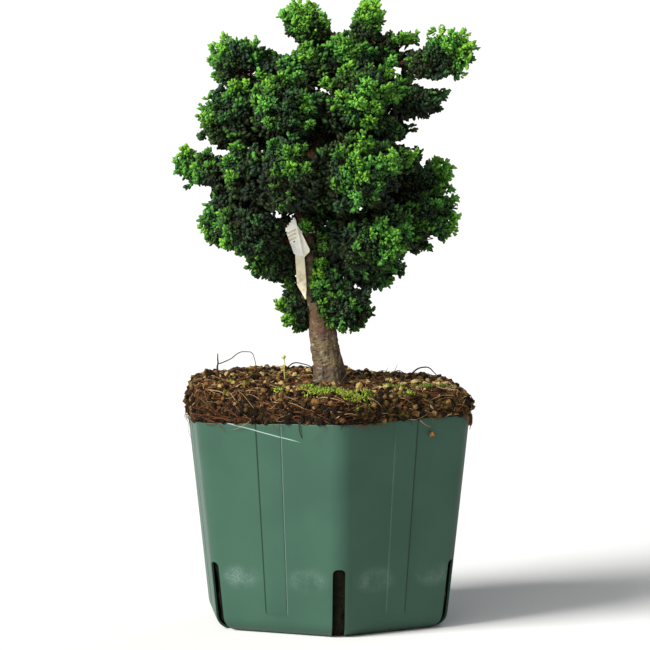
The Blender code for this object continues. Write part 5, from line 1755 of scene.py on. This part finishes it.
def plate(name, outline, depth, finish):
    """A flat plate with upright edges, from its outline in millimetres across and up, and its middle in
    depth and its thickness."""
    across, up = np.array(outline).T * MM
    middle, thick = depth
    back = np.column_stack((across, np.full(len(across), middle + thick / 2), up))
    points = np.concatenate((back, back - (0, thick, 0)))
    return skin(name, points, prism_faces(len(back)), finish, smooth=False)


def label_plastic():
    """Cream plastic: a white front with three yellowed grooves, a tan fold behind it and a stained tail."""
    finish = Finish("label_plastic", LABEL_CREAM, 0.5, shine=0.35)
    x, y, z = finish.axes()
    front = finish.ramp(y, *LABEL_FRONT)
    colour = finish.mix(front, LABEL_CREAM, LABEL_WHITE)
    level = z - GROOVE_SLOPE * x
    off = finish.math("WRAP", level - GROOVE_START, GROOVE_SPACING / 2, -GROOVE_SPACING / 2)
    grooves = finish.ramp(abs(off), *GROOVE_EDGE) * front
    for place, edges in ((level, GROOVE_ROWS), (x, GROOVE_ENDS)):
        for edge in edges:
            grooves = grooves * finish.ramp(place, *edge)
    colour = finish.mix(0.6 * grooves, colour, LABEL_TAN)
    low = 0.22 + 0.7 * finish.ramp(z, *STAINED_TAIL)
    colour = finish.patches(colour, LABEL_TAN, 230, 0.42, 0.7, share=low)
    speck_x, speck_z, radius = LABEL_SPECK
    off = (x - speck_x) * (x - speck_x) + (z - speck_z) * (z - speck_z)
    # A dark speck painted on the head's front
    colour = finish.mix(0.9 * finish.ramp(off, radius**2, 0.4 * radius**2) * front, colour, LABEL_SPECK_DARK)
    finish.feed({"Base Color": colour})
    finish.bump(finish.noise(900, 3) - 2 * grooves, 0.3 * MM, 0.5)
    return finish


label_finish = label_plastic()
corners = np.array(LABEL_HEAD)
stair = corners[-1] + (corners[0] - corners[-1]) * (np.arange(LABEL_STEPS + 1) / LABEL_STEPS)[:, None]
risers = np.column_stack((stair[:-1, 0], stair[1:, 1]))
stepped = np.stack((stair[:-1], risers), axis=1).reshape(-1, 2)
label = plate("label_tag", np.vstack((corners[:-1], stepped)), LABEL_HEAD_DEPTH, label_finish)
fold = plate("label_fold", LABEL_FOLD, LABEL_FOLD_DEPTH, label_finish)
tail = plate("label_tail", LABEL_TAIL, LABEL_TAIL_DEPTH, label_finish)
low = LABEL_LOOP_HEIGHT - LABEL_LOOP_HALF_WIDTH
high = LABEL_LOOP_HEIGHT + LABEL_LOOP_HALF_WIDTH
rows = ((0, low), (0, high), (LABEL_LOOP_THICK, high), (LABEL_LOOP_THICK, low))
ring = np.concatenate([loop_ring(inset, height, LABEL_LOOP_DRAWN) for inset, height in rows])
loop_band = skin("label_loop", ring, [grid_faces(5, LABEL_LOOP_DRAWN) % len(ring)], label_finish)
cut(label, [fold, tail, loop_band], "UNION")
label.data.shade_smooth()
label.data.set_sharp_from_angle(angle=math.radians(35))
rounding = label.modifiers.new("rounding", "BEVEL")
rounding.width = LABEL_ROUNDING
rounding.segments = 2
rounding.limit_method = "ANGLE"
rounding.angle_limit = math.radians(40)
settle(label, "label_plastic", "label")
